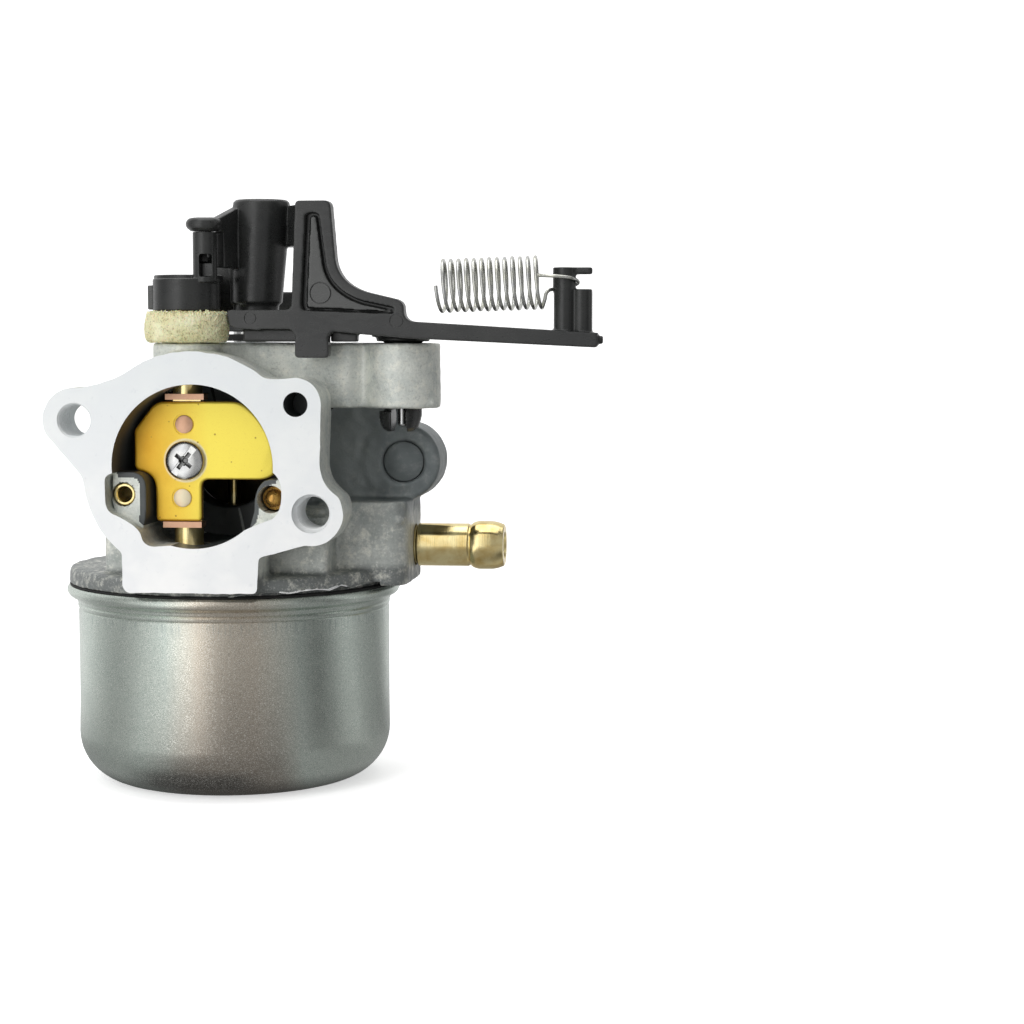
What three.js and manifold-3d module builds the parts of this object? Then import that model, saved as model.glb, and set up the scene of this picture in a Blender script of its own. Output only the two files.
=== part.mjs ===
// A small-engine float-bowl carburetor: die-cast body, drawn steel bowl, choke, throttle and control lever.
// Millimetres, +Z up. -Y is the air-cleaner side, +Y the engine side, +X the fuel-inlet side.
import * as THREE from 'three';
import { mergeVertices } from 'three/addons/utils/BufferGeometryUtils.js';
import Module from 'manifold-3d';

const wasm = await Module();
wasm.setup();

// ---------- driving dimensions ----------
const GAP = 0.25; // air gap between pieces that touch
const FIT = 0.3; // radial clearance of a shaft or screw in its hole

const BORE_Z = 49.2; // height of the throat axis
const FRONT_Y = -24; // air-cleaner face
const REAR_Y = 28; // engine face
const FLANGE_T = 8.3;
const ENGINE_FLANGE_T = 6;
const CHAMBER_R = 11.7; // choke chamber
const VENTURI_R = 8.6;
const THROAT_R = 9.2; // throttle bore
const BARREL_R = 14;
const EAR_X = 17.1;
const EAR_Z = 6.55;
const EAR_HOLE_R = 2.5;

const BOWL_Y = 2; // bowl axis
const BOWL_R = 23.8;
const RIM_R = 25.4;
const BOWL_T = 0.8;
const BOWL_TOP = 29.9;
const COVER_Z = 30.9; // gasket face of the body
const COVER_R = 25;
const FLOOR_Z = 5.1; // raised centre of the bowl bottom
const HOUSING = { x0: -15.6, x1: 17.6, y0: -14.8, y1: 16 }; // raised walls between cover and barrel

const CHOKE = { x: -2.5, y: -16 };
const CHOKE_SHAFT_R = 2.8;
const THROTTLE = { x: 0, y: 14 };
const THROTTLE_SHAFT_R = 2.6;
const TOP_Z = 66.7; // machined top of the casting
const BLOCK_Z = 57.2; // underside of the pivot block
const PIVOT = { x: 28, y: -8.5, r: 5.5 };
const INLET = { y: 3, z: 35.9, face: 28.5 };
const HINGE = { x: 19.5, z: 28.3 }; // float hinge pin
const NEEDLE_X = 12;

// ---------- materials ----------
function finish(colour, roughness, metalness) {
  return new THREE.MeshStandardMaterial({ color: colour, roughness, metalness });
}
const CAST = finish(0x9ea1a1, 0.5, 0.9);
const ZINC_STEEL = finish(0xa9b3b2, 0.35, 0.95);
const STEEL = finish(0xc9c9c6, 0.3, 1);
const BRASS = finish(0xd2a94e, 0.25, 1);
const COPPER = finish(0xd79c85, 0.4, 0.9);
const GOLD_ZINC = finish(0xe0a62c, 0.35, 0.8);
const BLACK_PLASTIC = finish(0x1c1d1f, 0.45, 0);
const RUBBER = finish(0x141414, 0.8, 0);
const FIBRE = finish(0x8a4a32, 0.8, 0);
const FOAM = finish(0xd9d2a3, 1, 0);
const FLOAT_PLASTIC = finish(0x2a2a2c, 0.6, 0);

// ---------- solids ----------
function toSolid(geometry) {
  const bare = new THREE.BufferGeometry();
  bare.setAttribute('position', geometry.getAttribute('position').clone());
  if (geometry.index) bare.setIndex(geometry.index.clone());
  const merged = mergeVertices(bare, 1e-5);
  return new wasm.Manifold(new wasm.Mesh({
    numProp: 3,
    vertProperties: new Float32Array(merged.getAttribute('position').array),
    triVerts: new Uint32Array(merged.index.array),
  }));
}

function toGeometry(solid) {
  const mesh = solid.getMesh();
  const geometry = new THREE.BufferGeometry();
  geometry.setAttribute('position', new THREE.BufferAttribute(mesh.vertProperties.slice(), 3));
  geometry.setIndex(new THREE.BufferAttribute(mesh.triVerts.slice(), 1));
  return geometry;
}

function join(...solids) {
  return solids.reduce((whole, piece) => whole.add(piece));
}

function cut(solid, ...tools) {
  return solid.subtract(join(...tools));
}

// Upright prism: the outline lies in the XY plane.
function upright(shape, z0, z1, curveSegments = 6) {
  const geometry = new THREE.ExtrudeGeometry(shape, { depth: z1 - z0, bevelEnabled: false, curveSegments });
  return toSolid(geometry.translate(0, 0, z0));
}

// Fore-and-aft prism: the outline lies in the XZ plane.
function foreAft(shape, y0, y1, curveSegments = 6) {
  const geometry = new THREE.ExtrudeGeometry(shape, { depth: y1 - y0, bevelEnabled: false, curveSegments });
  return toSolid(geometry.rotateX(Math.PI / 2).translate(0, y1, 0));
}

function box(x0, x1, y0, y1, z0, z1) {
  const geometry = new THREE.BoxGeometry(x1 - x0, y1 - y0, z1 - z0);
  return toSolid(geometry.translate((x0 + x1) / 2, (y0 + y1) / 2, (z0 + z1) / 2));
}

// Cylinders and cones along each axis: r0 at the low end, r1 at the high end.
function rodZ(x, y, z0, z1, r0, r1 = r0, sides = 18) {
  const geometry = new THREE.CylinderGeometry(r1, r0, z1 - z0, sides);
  return toSolid(geometry.rotateX(Math.PI / 2).translate(x, y, (z0 + z1) / 2));
}

function rodY(x, z, y0, y1, r0, r1 = r0, sides = 18) {
  const geometry = new THREE.CylinderGeometry(r1, r0, y1 - y0, sides);
  return toSolid(geometry.translate(x, (y0 + y1) / 2, z));
}

function rodX(y, z, x0, x1, r0, r1 = r0, sides = 18) {
  const geometry = new THREE.CylinderGeometry(r1, r0, x1 - x0, sides);
  return toSolid(geometry.rotateZ(-Math.PI / 2).translate((x0 + x1) / 2, y, z));
}

// A thin cylinder along Y, measured from the bowl axis.
function crossRod(x, z, y0, y1, r) {
  return rodY(x, z, BOWL_Y + y0, BOWL_Y + y1, r, r, 16);
}

// Body of revolution about a vertical axis, from a closed profile of [radius, height] points.
function turned(profile, x, y, sides = 40) {
  const points = [...profile, profile[0]].map(([r, z]) => new THREE.Vector2(r, z));
  const geometry = new THREE.LatheGeometry(points, sides);
  return toSolid(geometry.rotateX(Math.PI / 2).translate(x, y, 0));
}

function polygon(points) {
  return new THREE.Shape(points.map(([a, b]) => new THREE.Vector2(a, b)));
}

// Outline of two circles joined by their outer tangents.
function tapered(ax, ay, ar, bx, by, br) {
  const heading = Math.atan2(by - ay, bx - ax);
  const lean = Math.acos((ar - br) / Math.hypot(bx - ax, by - ay));
  const shape = new THREE.Shape();
  shape.absarc(ax, ay, ar, heading + lean, heading - lean + 2 * Math.PI, false);
  shape.absarc(bx, by, br, heading - lean, heading + lean, false);
  return shape;
}

const part = new THREE.Group();

function addPiece(name, solid, material) {
  const mesh = new THREE.Mesh(toGeometry(solid), material);
  mesh.name = name;
  part.add(mesh);
}

// ---------- die-cast body ----------
const AIR_JET = { x: -10.5, z: BORE_Z - 4.2, face: -20 };
const PLUG_JET = { x: 11, z: BORE_Z - 4.8, face: -19.5 };
const ROUND_BOSS = { x: 26.5, z: 48.8, r: 5.9, face: -1 };
const LOBE_Y = -16; // depth of the pockets round the jets

function airFlangeOutline() {
  const shape = new THREE.Shape();
  shape.moveTo(-9.8, -18.1);
  shape.lineTo(9.2, -18.1);
  shape.lineTo(9.5, -12.9);
  shape.absarc(EAR_X, -EAR_Z, 4.6, -1.75, 0.55, false);
  shape.quadraticCurveTo(18.4, -2.4, 18.4, 0.5);
  shape.absarc(14.9, 8.9, 3.8, 0, Math.PI / 2, false);
  shape.quadraticCurveTo(12, 12.2, 10.4, 12.7);
  shape.absarc(0, 0, 16.4, 0.885, 2.19, false);
  shape.quadraticCurveTo(-12, 11.9, -16.2, 11.15);
  shape.absarc(-EAR_X, EAR_Z, 4.65, 1.4, 3.55, false);
  shape.lineTo(-16, -1.6);
  shape.quadraticCurveTo(-15.6, -6.5, -12.7, -10.2);
  shape.lineTo(-10.4, -12.4);
  shape.lineTo(-10.4, -17.2);
  return shape;
}

// Pockets in the air flange round the two jets, which open into the bore.
function leftLobe() {
  const shape = new THREE.Shape();
  shape.moveTo(-6.9, 0);
  shape.lineTo(-10, -0.9);
  shape.quadraticCurveTo(-12.8, -0.7, -12.75, -2.2);
  shape.lineTo(-12.7, -5);
  shape.quadraticCurveTo(-12.6, -6.6, -11.2, -7);
  shape.quadraticCurveTo(-7.7, -8.6, -7.5, -10);
  shape.quadraticCurveTo(-7.2, -11.4, -5.6, -11.45);
  shape.lineTo(0, -11);
  return shape;
}

function rightLobe() {
  const shape = new THREE.Shape();
  shape.moveTo(4, 0);
  shape.lineTo(11.2, -0.6);
  shape.quadraticCurveTo(12.5, -1.6, 12.5, -3.5);
  shape.quadraticCurveTo(12.6, -6.4, 11.2, -7.2);
  shape.quadraticCurveTo(8.6, -8.4, 7.4, -9.05);
  return shape;
}

function leftWeb() {
  const shape = new THREE.Shape();
  shape.moveTo(-12.4, -1.35);
  shape.lineTo(-11.9, -0.95);
  shape.quadraticCurveTo(-7.2, -1.1, -7.1, -3.2);
  shape.lineTo(-7.15, -6.5);
  shape.lineTo(-7.9, -9.4);
  shape.lineTo(-12, -7.2);
  shape.lineTo(-12.5, -5.2);
  return shape;
}

function rightWeb() {
  const shape = new THREE.Shape();
  shape.moveTo(12.1, -5.4);
  shape.lineTo(11, -7.1);
  shape.lineTo(7.3, -9.5);
  shape.lineTo(8.2, -6.5);
  shape.quadraticCurveTo(8.1, -3.2, 9.8, -2.1);
  shape.quadraticCurveTo(12.3, -1.3, 12.2, -3.6);
  return shape;
}

function inletOutline() {
  const corner = 2.6;
  const shape = new THREE.Shape();
  shape.moveTo(15, 8);
  shape.lineTo(15, -7.5);
  shape.absarc(INLET.face - corner, -7.5 + corner, corner, -Math.PI / 2, 0, false);
  shape.lineTo(INLET.face, 8);
  return shape;
}

function raised(shape, y0, y1, segments) {
  return foreAft(shape, y0, y1, segments).translate([0, 0, BORE_Z]);
}

function castBody() {
  const flange = raised(airFlangeOutline(), FRONT_Y, FRONT_Y + FLANGE_T);
  const barrel = rodY(0, BORE_Z, FRONT_Y + 2, REAR_Y - 1, BARREL_R, BARREL_R, 40);
  const engineFlange = raised(tapered(-EAR_X, EAR_Z, 5, 0, 0, 13.2), REAR_Y - ENGINE_FLANGE_T, REAR_Y, 8);
  const engineEar = raised(tapered(EAR_X, -EAR_Z, 5, 0, 0, 13.2), REAR_Y - ENGINE_FLANGE_T, REAR_Y, 8);
  const cover = turned([[0, COVER_Z], [COVER_R, COVER_Z], [COVER_R, 32.2], [24.6, 32.9], [0, 33.5]], 0, BOWL_Y);
  const housing = box(HOUSING.x0, HOUSING.x1, HOUSING.y0, HOUSING.y1, 32, 41.5);
  const pillar = rodZ(0, BOWL_Y, FLOOR_Z + BOWL_T + GAP, COVER_Z + 1, 4.5);
  const neck = rodZ(CHOKE.x, CHOKE.y, BORE_Z, TOP_Z, 4.8, 4.8, 28);
  const chokeFoot = rodZ(CHOKE.x, CHOKE.y, 33, BORE_Z - 10, 5);
  const throttleNeck = rodZ(THROTTLE.x, THROTTLE.y, BORE_Z, TOP_Z, 5.2);
  const throttleFoot = rodZ(THROTTLE.x, THROTTLE.y, 33, BORE_Z - 8, 5.2);
  const block = upright(polygon([
    [-7, -15], [2, -15], [5.5, -12.4], [7, -11.9], [20.5, -11.9], [22.4, -10.8], [24.2, -11.6],
    [31, -12.6], [33.2, -9], [31, -3.8], [23, 0.5], [8, 9], [4, 17], [-4, 17], [-7, 8],
  ]), BLOCK_Z, TOP_Z);
  const pivotBoss = rodZ(PIVOT.x, PIVOT.y, BLOCK_Z, TOP_Z, PIVOT.r, PIVOT.r, 28);
  const web = box(10, ROUND_BOSS.x, ROUND_BOSS.face + 0.1, 7, 42, BLOCK_Z + 1);
  const roundBoss = rodY(ROUND_BOSS.x, ROUND_BOSS.z, ROUND_BOSS.face, 8, ROUND_BOSS.r, ROUND_BOSS.r, 32);
  const inletBlock = upright(inletOutline(), COVER_Z + 0.3, 43.2, 4);
  const passageBlock = box(4, 16.8, -13, 4, 33.5, 42.5);
  const hingePosts = join(...[-6, 4].map((y) => box(HINGE.x - 1.9, HINGE.x + 1.6, BOWL_Y + y, BOWL_Y + y + 2,
    HINGE.z - 2, COVER_Z + 0.5)));

  const outside = join(flange, barrel, engineFlange, engineEar, cover, housing, pillar, neck, chokeFoot,
    throttleNeck, throttleFoot, block, pivotBoss, web, roundBoss, inletBlock, passageBlock, hingePosts);

  const chamber = rodY(0, BORE_Z, FRONT_Y - 1, -2, CHAMBER_R, CHAMBER_R, 40);
  const inletCone = rodY(0, BORE_Z, -2.01, 4, CHAMBER_R, VENTURI_R, 40);
  const outletCone = rodY(0, BORE_Z, 3.99, 7, VENTURI_R, THROAT_R, 40);
  const throat = rodY(0, BORE_Z, 6.99, REAR_Y + 1, THROAT_R, THROAT_R, 40);
  const lobes = [leftLobe(), rightLobe()].map((shape) => raised(shape, FRONT_Y - 1, LOBE_Y, 4));
  const earHoles = [-1, 1].map((side) => rodY(side * EAR_X, BORE_Z - side * EAR_Z, FRONT_Y - 1,
    FRONT_Y + FLANGE_T + 1, EAR_HOLE_R));
  const studHoles = [-1, 1].map((side) => rodY(side * EAR_X, BORE_Z - side * EAR_Z,
    REAR_Y - ENGINE_FLANGE_T - 1, REAR_Y + 1, 3.2));
  const vent = rodY(15, BORE_Z + 8.9, FRONT_Y - 1, -17, 1.75);
  const chokeHole = rodZ(CHOKE.x, CHOKE.y, 34, TOP_Z + 1, CHOKE_SHAFT_R + FIT);
  const throttleHole = rodZ(THROTTLE.x, THROTTLE.y, 36.5, TOP_Z + 1, THROTTLE_SHAFT_R + FIT);
  const pivotHole = rodZ(PIVOT.x, PIVOT.y, BLOCK_Z - 1, TOP_Z + 1, 3.1);
  const plugRecess = rodY(ROUND_BOSS.x, ROUND_BOSS.z, ROUND_BOSS.face - 1, 3, 3.4);
  const inletHole = rodX(INLET.y, INLET.z, 19, INLET.face + 1, 3.2);
  const inletPassage = rodX(INLET.y, INLET.z, NEEDLE_X - 1, 19.5, 1.2);
  const seatHole = rodZ(NEEDLE_X, BOWL_Y, COVER_Z - 1, 37.6, 3.1);
  const boltHole = rodZ(0, BOWL_Y, 4, 19, 2.9 + FIT);
  const nozzleHole = rodZ(0, BOWL_Y, 18, BORE_Z - 5, 1.25, 1.25, 16);
  const hingeHole = crossRod(HINGE.x, HINGE.z, -7, 7, 1.1);

  const bored = cut(outside, chamber, inletCone, outletCone, throat, ...lobes,
    ...earHoles, ...studHoles, vent, inletHole, inletPassage, seatHole, boltHole, nozzleHole, pivotHole,
    plugRecess, hingeHole);

  // Metal left standing round the two jets, a little behind the flange's face.
  const chamberBack = -2.4;
  const airWeb = raised(leftWeb(), AIR_JET.face - 1.2, chamberBack, 4);
  const plugWeb = raised(rightWeb(), PLUG_JET.face - 1.2, chamberBack, 4);
  const airJetHole = rodY(AIR_JET.x, AIR_JET.z, FRONT_Y - 1, -11, 1.6 + FIT, 1.6 + FIT, 16);
  const plugHole = rodY(PLUG_JET.x, PLUG_JET.z, FRONT_Y - 1, -14, 2, 2, 16);
  return cut(join(bored, airWeb, plugWeb), airJetHole, plugHole, chokeHole, throttleHole);
}

addPiece('carburetor_body', castBody(), CAST);

// ---------- float bowl and its fixings ----------
function bowl() {
  const corner = 5;
  const bend = 5;
  const inner = FLOOR_Z + BOWL_T;
  const outside = [[3.3, FLOOR_Z], [9.6, FLOOR_Z], [11, FLOOR_Z - 0.8], [12.6, 0.8], [13.8, 0]];
  const inside = [[13.9, BOWL_T], [13, 1.4], [11.4, inner - 0.6], [10, inner], [3.3, inner]];
  const outerBend = [];
  const innerBend = [];
  for (let i = 0; i <= bend; i += 1) {
    const a = (i / bend) * (Math.PI / 2);
    const x = BOWL_R - corner;
    outerBend.push([x + corner * Math.sin(a), corner - corner * Math.cos(a)]);
    innerBend.unshift([x + (corner - BOWL_T) * Math.sin(a), corner - (corner - BOWL_T) * Math.cos(a)]);
  }
  const rim = [
    [BOWL_R, 24], [24.6, 26], [RIM_R - 0.1, 27.3], [RIM_R, 28], [RIM_R, BOWL_TOP - 0.4],
    [RIM_R - 0.4, BOWL_TOP], [RIM_R - 1.8, BOWL_TOP], [RIM_R - 1.8, 28], [BOWL_R - BOWL_T, 24.3],
  ];
  return turned([...outside, ...outerBend, ...rim, ...innerBend, ...inside], 0, BOWL_Y, 40);
}

addPiece('float_bowl', bowl(), ZINC_STEEL);
addPiece('bowl_gasket', turned([
  [23.8, BOWL_TOP + GAP], [25.1, BOWL_TOP + GAP], [25.1, COVER_Z - GAP], [23.8, COVER_Z - GAP],
], 0, BOWL_Y, 40), RUBBER);

const BOLT_HEAD_TOP = 4;
addPiece('bowl_bolt', join(
  rodZ(0, BOWL_Y, 0.5, BOLT_HEAD_TOP, 5.2, 5.2, 6),
  rodZ(0, BOWL_Y, BOLT_HEAD_TOP - 0.5, 14, 2.8),
), ZINC_STEEL);
addPiece('bowl_bolt_washer', cut(
  rodZ(0, BOWL_Y, BOLT_HEAD_TOP + GAP, FLOOR_Z - GAP, 5.6, 5.6, 32),
  rodZ(0, BOWL_Y, 0, 8, 3.1),
), FIBRE);

// ---------- fuel metering ----------
addPiece('main_jet', cut(
  rodZ(0, BOWL_Y, 14.6, 18, 2.8),
  rodZ(0, BOWL_Y, 14, 19, 0.6, 0.6, 12),
), BRASS);
addPiece('main_nozzle', cut(
  rodZ(0, BOWL_Y, 18.6, BORE_Z - 2.2, 0.95, 0.95, 16),
  rodZ(0, BOWL_Y, 18, BORE_Z, 0.5, 0.5, 12),
), BRASS);
addPiece('air_jet', cut(
  rodY(AIR_JET.x, AIR_JET.z, AIR_JET.face - 0.7, -12, 1.6, 1.6, 20),
  rodY(AIR_JET.x, AIR_JET.z, AIR_JET.face - 2, -11, 1.05, 1.05, 16),
), BRASS);
addPiece('passage_plug', join(
  rodY(PLUG_JET.x, PLUG_JET.z, PLUG_JET.face + 1, -14.4, 1.7, 1.7, 20),
  rodY(PLUG_JET.x, PLUG_JET.z, PLUG_JET.face - 0.2, PLUG_JET.face + 1, 0.9, 1.45, 20),
), BRASS);
addPiece('boss_plug', rodY(ROUND_BOSS.x, ROUND_BOSS.z, ROUND_BOSS.face + 0.5, 2.7, 3.1, 3.1, 32), CAST);

// ---------- fuel inlet ----------
function inletBarb() {
  const y = INLET.y;
  const z = INLET.z;
  const end = 42.1;
  const tube = rodX(y, z, INLET.face + GAP, end - 5, 3.175);
  const shank = rodX(y, z, 20, INLET.face + 1, 2.9);
  const ramp = rodX(y, z, end - 5.4, end - 4, 3.175, 3.7);
  const bulb = rodX(y, z, end - 4, end - 1.4, 3.7, 3.6);
  const nose = rodX(y, z, end - 1.4, end, 3.6, 3.2);
  return cut(join(shank, tube, ramp, bulb, nose), rodX(y, z, 19, end + 1, 1.7));
}

addPiece('fuel_inlet_barb', inletBarb(), BRASS);
addPiece('inlet_seat', cut(
  rodZ(NEEDLE_X, BOWL_Y, COVER_Z - 0.8, 35, 2.8),
  rodZ(NEEDLE_X, BOWL_Y, COVER_Z - 2, 33, 1.8),
  rodZ(NEEDLE_X, BOWL_Y, 32.9, 36, 0.8, 0.8, 12),
), BRASS);

// ---------- float and needle ----------
addPiece('inlet_needle', join(
  rodZ(NEEDLE_X, BOWL_Y, 25, 30.2, 1.4, 1.4, 16),
  rodZ(NEEDLE_X, BOWL_Y, 30.2, 31.7, 1.4, 0.3, 16),
), STEEL);
addPiece('float_hinge_pin', crossRod(HINGE.x, HINGE.z, -7.2, 7.2, 0.8), STEEL);
addPiece('float', turned([[8, 13], [20, 13], [20.5, 14], [20.5, 21.6], [19.6, 22.6], [8, 22.6]], 0, BOWL_Y),
  FLOAT_PLASTIC);

function floatArm() {
  const tongue = box(NEEDLE_X - 2, HINGE.x, BOWL_Y - 2.5, BOWL_Y + 2.5, 23.9, 24.7);
  const barrel = crossRod(HINGE.x, HINGE.z, -3.6, 3.6, 1.9);
  const neck = box(HINGE.x - 0.8, HINGE.x + 0.8, BOWL_Y - 2.5, BOWL_Y + 2.5, 23.9, HINGE.z - 1);
  const feet = join(...[-1, 1].map((side) => box(NEEDLE_X - 6, HINGE.x - 0.5, BOWL_Y + side * 4.2 - 1.7,
    BOWL_Y + side * 4.2 + 1.7, 22.85, 24.7)));
  return cut(join(tongue, barrel, neck, feet), crossRod(HINGE.x, HINGE.z, -4, 4, 1.05));
}

addPiece('float_arm', floatArm(), STEEL);

// ---------- choke ----------
const PLATE_Y = CHOKE.y - 1.8; // front face of the choke plate
const PLATE_T = 0.9;
const TAB_TOP = 59.4;
const TAB_LOW = 40;

function chokePlateOutline() {
  const shape = new THREE.Shape();
  shape.moveTo(-6.3, -8.3);
  shape.lineTo(-0.9, -8.3);
  shape.quadraticCurveTo(-0.2, -8.3, -0.2, -7.6);
  shape.lineTo(-0.2, -3.2);
  shape.quadraticCurveTo(-0.1, -2.2, 1, -2.2);
  shape.lineTo(8.2, -2.2);
  shape.quadraticCurveTo(9.8, -2.1, 10.45, -1.4);
  shape.absarc(0, 0, 10.6, -0.12, 0.93, false);
  shape.quadraticCurveTo(5.4, 9.1, 4.2, 9.1);
  shape.lineTo(-6, 9.1);
  shape.quadraticCurveTo(-7, 8.9, -7.6, 8.2);
  shape.lineTo(-9.9, 5.2);
  shape.quadraticCurveTo(-10.1, 4.9, -10.1, 4.4);
  shape.lineTo(-10.1, -0.2);
  shape.quadraticCurveTo(-10, -0.9, -9.3, -1);
  shape.quadraticCurveTo(-6.9, -1.4, -7, -4);
  shape.lineTo(-7, -7.6);
  shape.quadraticCurveTo(-7, -8.3, -6.3, -8.3);
  return shape;
}

const RIVET_Z = [BORE_Z + 5.8, BORE_Z - 5];
const SCREW_Z = BORE_Z + 0.2;
const SHAFT_FLAT_Y = PLATE_Y + PLATE_T + GAP;

// Three holes on the shaft's centre line, for the screw and the two rivets.
function fixingHoles(y0, y1) {
  return [...RIVET_Z, SCREW_Z].map((z) => rodY(CHOKE.x, z, y0, y1, 1 + GAP, 1 + GAP, 16));
}

function chokeShaft() {
  const round = rodZ(CHOKE.x, CHOKE.y, 34.4, 75.4, CHOKE_SHAFT_R);
  const flat = box(CHOKE.x - 4, CHOKE.x + 4, CHOKE.y - 4, SHAFT_FLAT_Y, TAB_LOW, TAB_TOP);
  const tabs = [TAB_LOW, TAB_TOP - 0.8].map((z) => box(CHOKE.x - 2.9, CHOKE.x + 2.9, PLATE_Y - 0.3,
    CHOKE.y + 0.5, z, z + 0.8));
  return cut(join(round.subtract(flat), ...tabs), ...fixingHoles(CHOKE.y - 4, CHOKE.y + 1.2));
}

addPiece('choke_shaft', chokeShaft(), COPPER);
addPiece('choke_plate', cut(
  raised(chokePlateOutline(), PLATE_Y, PLATE_Y + PLATE_T),
  ...fixingHoles(PLATE_Y - 1, PLATE_Y + PLATE_T + 1),
), GOLD_ZINC);
addPiece('choke_screw', cut(
  join(
    rodY(CHOKE.x, SCREW_Z, PLATE_Y - GAP - 0.5, PLATE_Y - GAP, 2.75, 2.75, 28),
    rodY(CHOKE.x, SCREW_Z, PLATE_Y - GAP - 1.1, PLATE_Y - GAP - 0.5, 2.1, 2.75, 28),
    rodY(CHOKE.x, SCREW_Z, PLATE_Y - GAP - 0.2, CHOKE.y + 0.9, 1, 1, 16),
  ),
  box(CHOKE.x - 1.3, CHOKE.x + 1.3, PLATE_Y - 2, PLATE_Y - GAP - 0.4, SCREW_Z - 0.35, SCREW_Z + 0.35),
  box(CHOKE.x - 0.35, CHOKE.x + 0.35, PLATE_Y - 2, PLATE_Y - GAP - 0.4, SCREW_Z - 1.3, SCREW_Z + 1.3),
), STEEL);
RIVET_Z.forEach((z, i) => {
  addPiece(`choke_rivet_${i + 1}`, join(
    rodY(CHOKE.x - 0.3, z, PLATE_Y - 0.35, PLATE_Y - 0.1, 1.4, 1.4, 20),
    rodY(CHOKE.x, z, PLATE_Y - 0.2, CHOKE.y + 0.9, 0.95, 0.95, 16),
  ), COPPER);
});

// The black lever cap on the choke shaft carries an upright socket for the control lever's pin.
const CAP_Z = 71.7;
const CAP_TOP = 76.3;
const SOCKET = { x: 0.6, y: -18.4, r: 1.9, top: 82.3 };

function chokeLever() {
  const cap = rodZ(CHOKE.x, CHOKE.y, CAP_Z, CAP_TOP, 5, 5, 40);
  const rearDisc = rodZ(CHOKE.x - 0.3, CHOKE.y + 2.4, CAP_TOP - 0.5, CAP_TOP + 0.5, 5, 5, 40);
  const sideBlade = box(CHOKE.x - 5.7, CHOKE.x - 3, CHOKE.y - 0.4, CHOKE.y + 3.4, CAP_Z + 0.2, CAP_TOP - 0.6);
  const post = rodZ(SOCKET.x, SOCKET.y, CAP_TOP - 0.5, SOCKET.top, SOCKET.r);
  const pocket = rodZ(SOCKET.x, SOCKET.y, 78.2, SOCKET.top + 1, 1.55);
  const window = box(SOCKET.x - 0.75, SOCKET.x + 0.75, SOCKET.y - 3, SOCKET.y, 76.2, 79.4);
  const shaftHole = rodZ(CHOKE.x, CHOKE.y, CAP_Z - 1, 75.8, CHOKE_SHAFT_R + GAP);
  return cut(join(cap, rearDisc, sideBlade, post), pocket, window, shaftHole);
}

addPiece('choke_lever', chokeLever(), BLACK_PLASTIC);
addPiece('foam_seal', turned([
  [CHOKE_SHAFT_R + 0.4, 67], [5.5, 67], [5.75, 67.6], [5.75, 70.8], [5.5, 71.4], [CHOKE_SHAFT_R + 0.4, 71.4],
], CHOKE.x, CHOKE.y, 32), FOAM);

// ---------- throttle ----------
const THROTTLE_FLAT_Y = THROTTLE.y - 0.3;

function throttleShaft() {
  const round = rodZ(THROTTLE.x, THROTTLE.y, 37, 72, THROTTLE_SHAFT_R);
  const flat = box(-4, 4, THROTTLE.y - 4, THROTTLE_FLAT_Y, BORE_Z - 9, BORE_Z + 9);
  const doubleD = [-5.6, 1.6].map((y) => box(-4, 4, THROTTLE.y + y, THROTTLE.y + y + 4, 68.4, 73));
  const screwHole = rodY(THROTTLE.x, BORE_Z, THROTTLE.y - 4, THROTTLE.y + 1.4, 1.2, 1.2, 16);
  return cut(round, flat, ...doubleD, screwHole);
}

addPiece('throttle_shaft', throttleShaft(), STEEL);
addPiece('throttle_plate', cut(
  rodY(0, BORE_Z, THROTTLE_FLAT_Y - GAP - 0.8, THROTTLE_FLAT_Y - GAP, THROAT_R - 0.3, THROAT_R - 0.3, 40),
  rodY(0, BORE_Z, 8, 20, 1.2, 1.2, 16),
), BRASS);
addPiece('throttle_screw', join(
  rodY(0, BORE_Z, THROTTLE_FLAT_Y - 2 * GAP - 1.8, THROTTLE_FLAT_Y - 2 * GAP - 0.8, 2, 2.2),
  rodY(0, BORE_Z, THROTTLE_FLAT_Y - 2 * GAP - 1, THROTTLE.y + 1.1, 0.95, 0.95, 16),
), STEEL);
addPiece('throttle_shaft_seal', turned([
  [THROTTLE_SHAFT_R + GAP, TOP_Z + GAP], [4.4, TOP_Z + GAP], [4.4, 68], [THROTTLE_SHAFT_R + GAP, 68],
], THROTTLE.x, THROTTLE.y, 28), RUBBER);

function throttleLever() {
  const hub = rodZ(THROTTLE.x, THROTTLE.y, 68.4, 71, 4.4);
  const arm = upright(tapered(THROTTLE.x, THROTTLE.y, 3.6, THROTTLE.x + 9.5, THROTTLE.y, 2.2), 68.4, 70.4);
  const stop = box(THROTTLE.x + 6, THROTTLE.x + 8, THROTTLE.y - 2.4, THROTTLE.y + 1.5, 70, 74.6);
  const linkHole = rodZ(THROTTLE.x + 9.9, THROTTLE.y, 67, 72, 0.9, 0.9, 12);
  const shaftHole = rodZ(THROTTLE.x, THROTTLE.y, 67, 73, THROTTLE_SHAFT_R + GAP);
  return cut(join(hub, arm, stop), linkHole, shaftHole);
}

addPiece('throttle_lever', throttleLever(), BLACK_PLASTIC);
addPiece('throttle_lever_clip', cut(
  rodZ(THROTTLE.x, THROTTLE.y, 71 + GAP, 71.9, 4, 4, 28),
  rodZ(THROTTLE.x, THROTTLE.y, 70, 73, THROTTLE_SHAFT_R + GAP),
), STEEL);

// ---------- control lever ----------
const WALL_Y = -17; // front face of the bracket
const WALL_T = 2.6;
const TOWER = { x: 6.9, y: -8, r: 4.05, z0: 71.4, top: 87.7 };
const KNOB = { x: 1.38, y: -18.4, discX: 0.75, r: 2.45, z0: 82.7, top: 84.7 };
const ARM_END = { x: 3.9, y: -9 };

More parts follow.
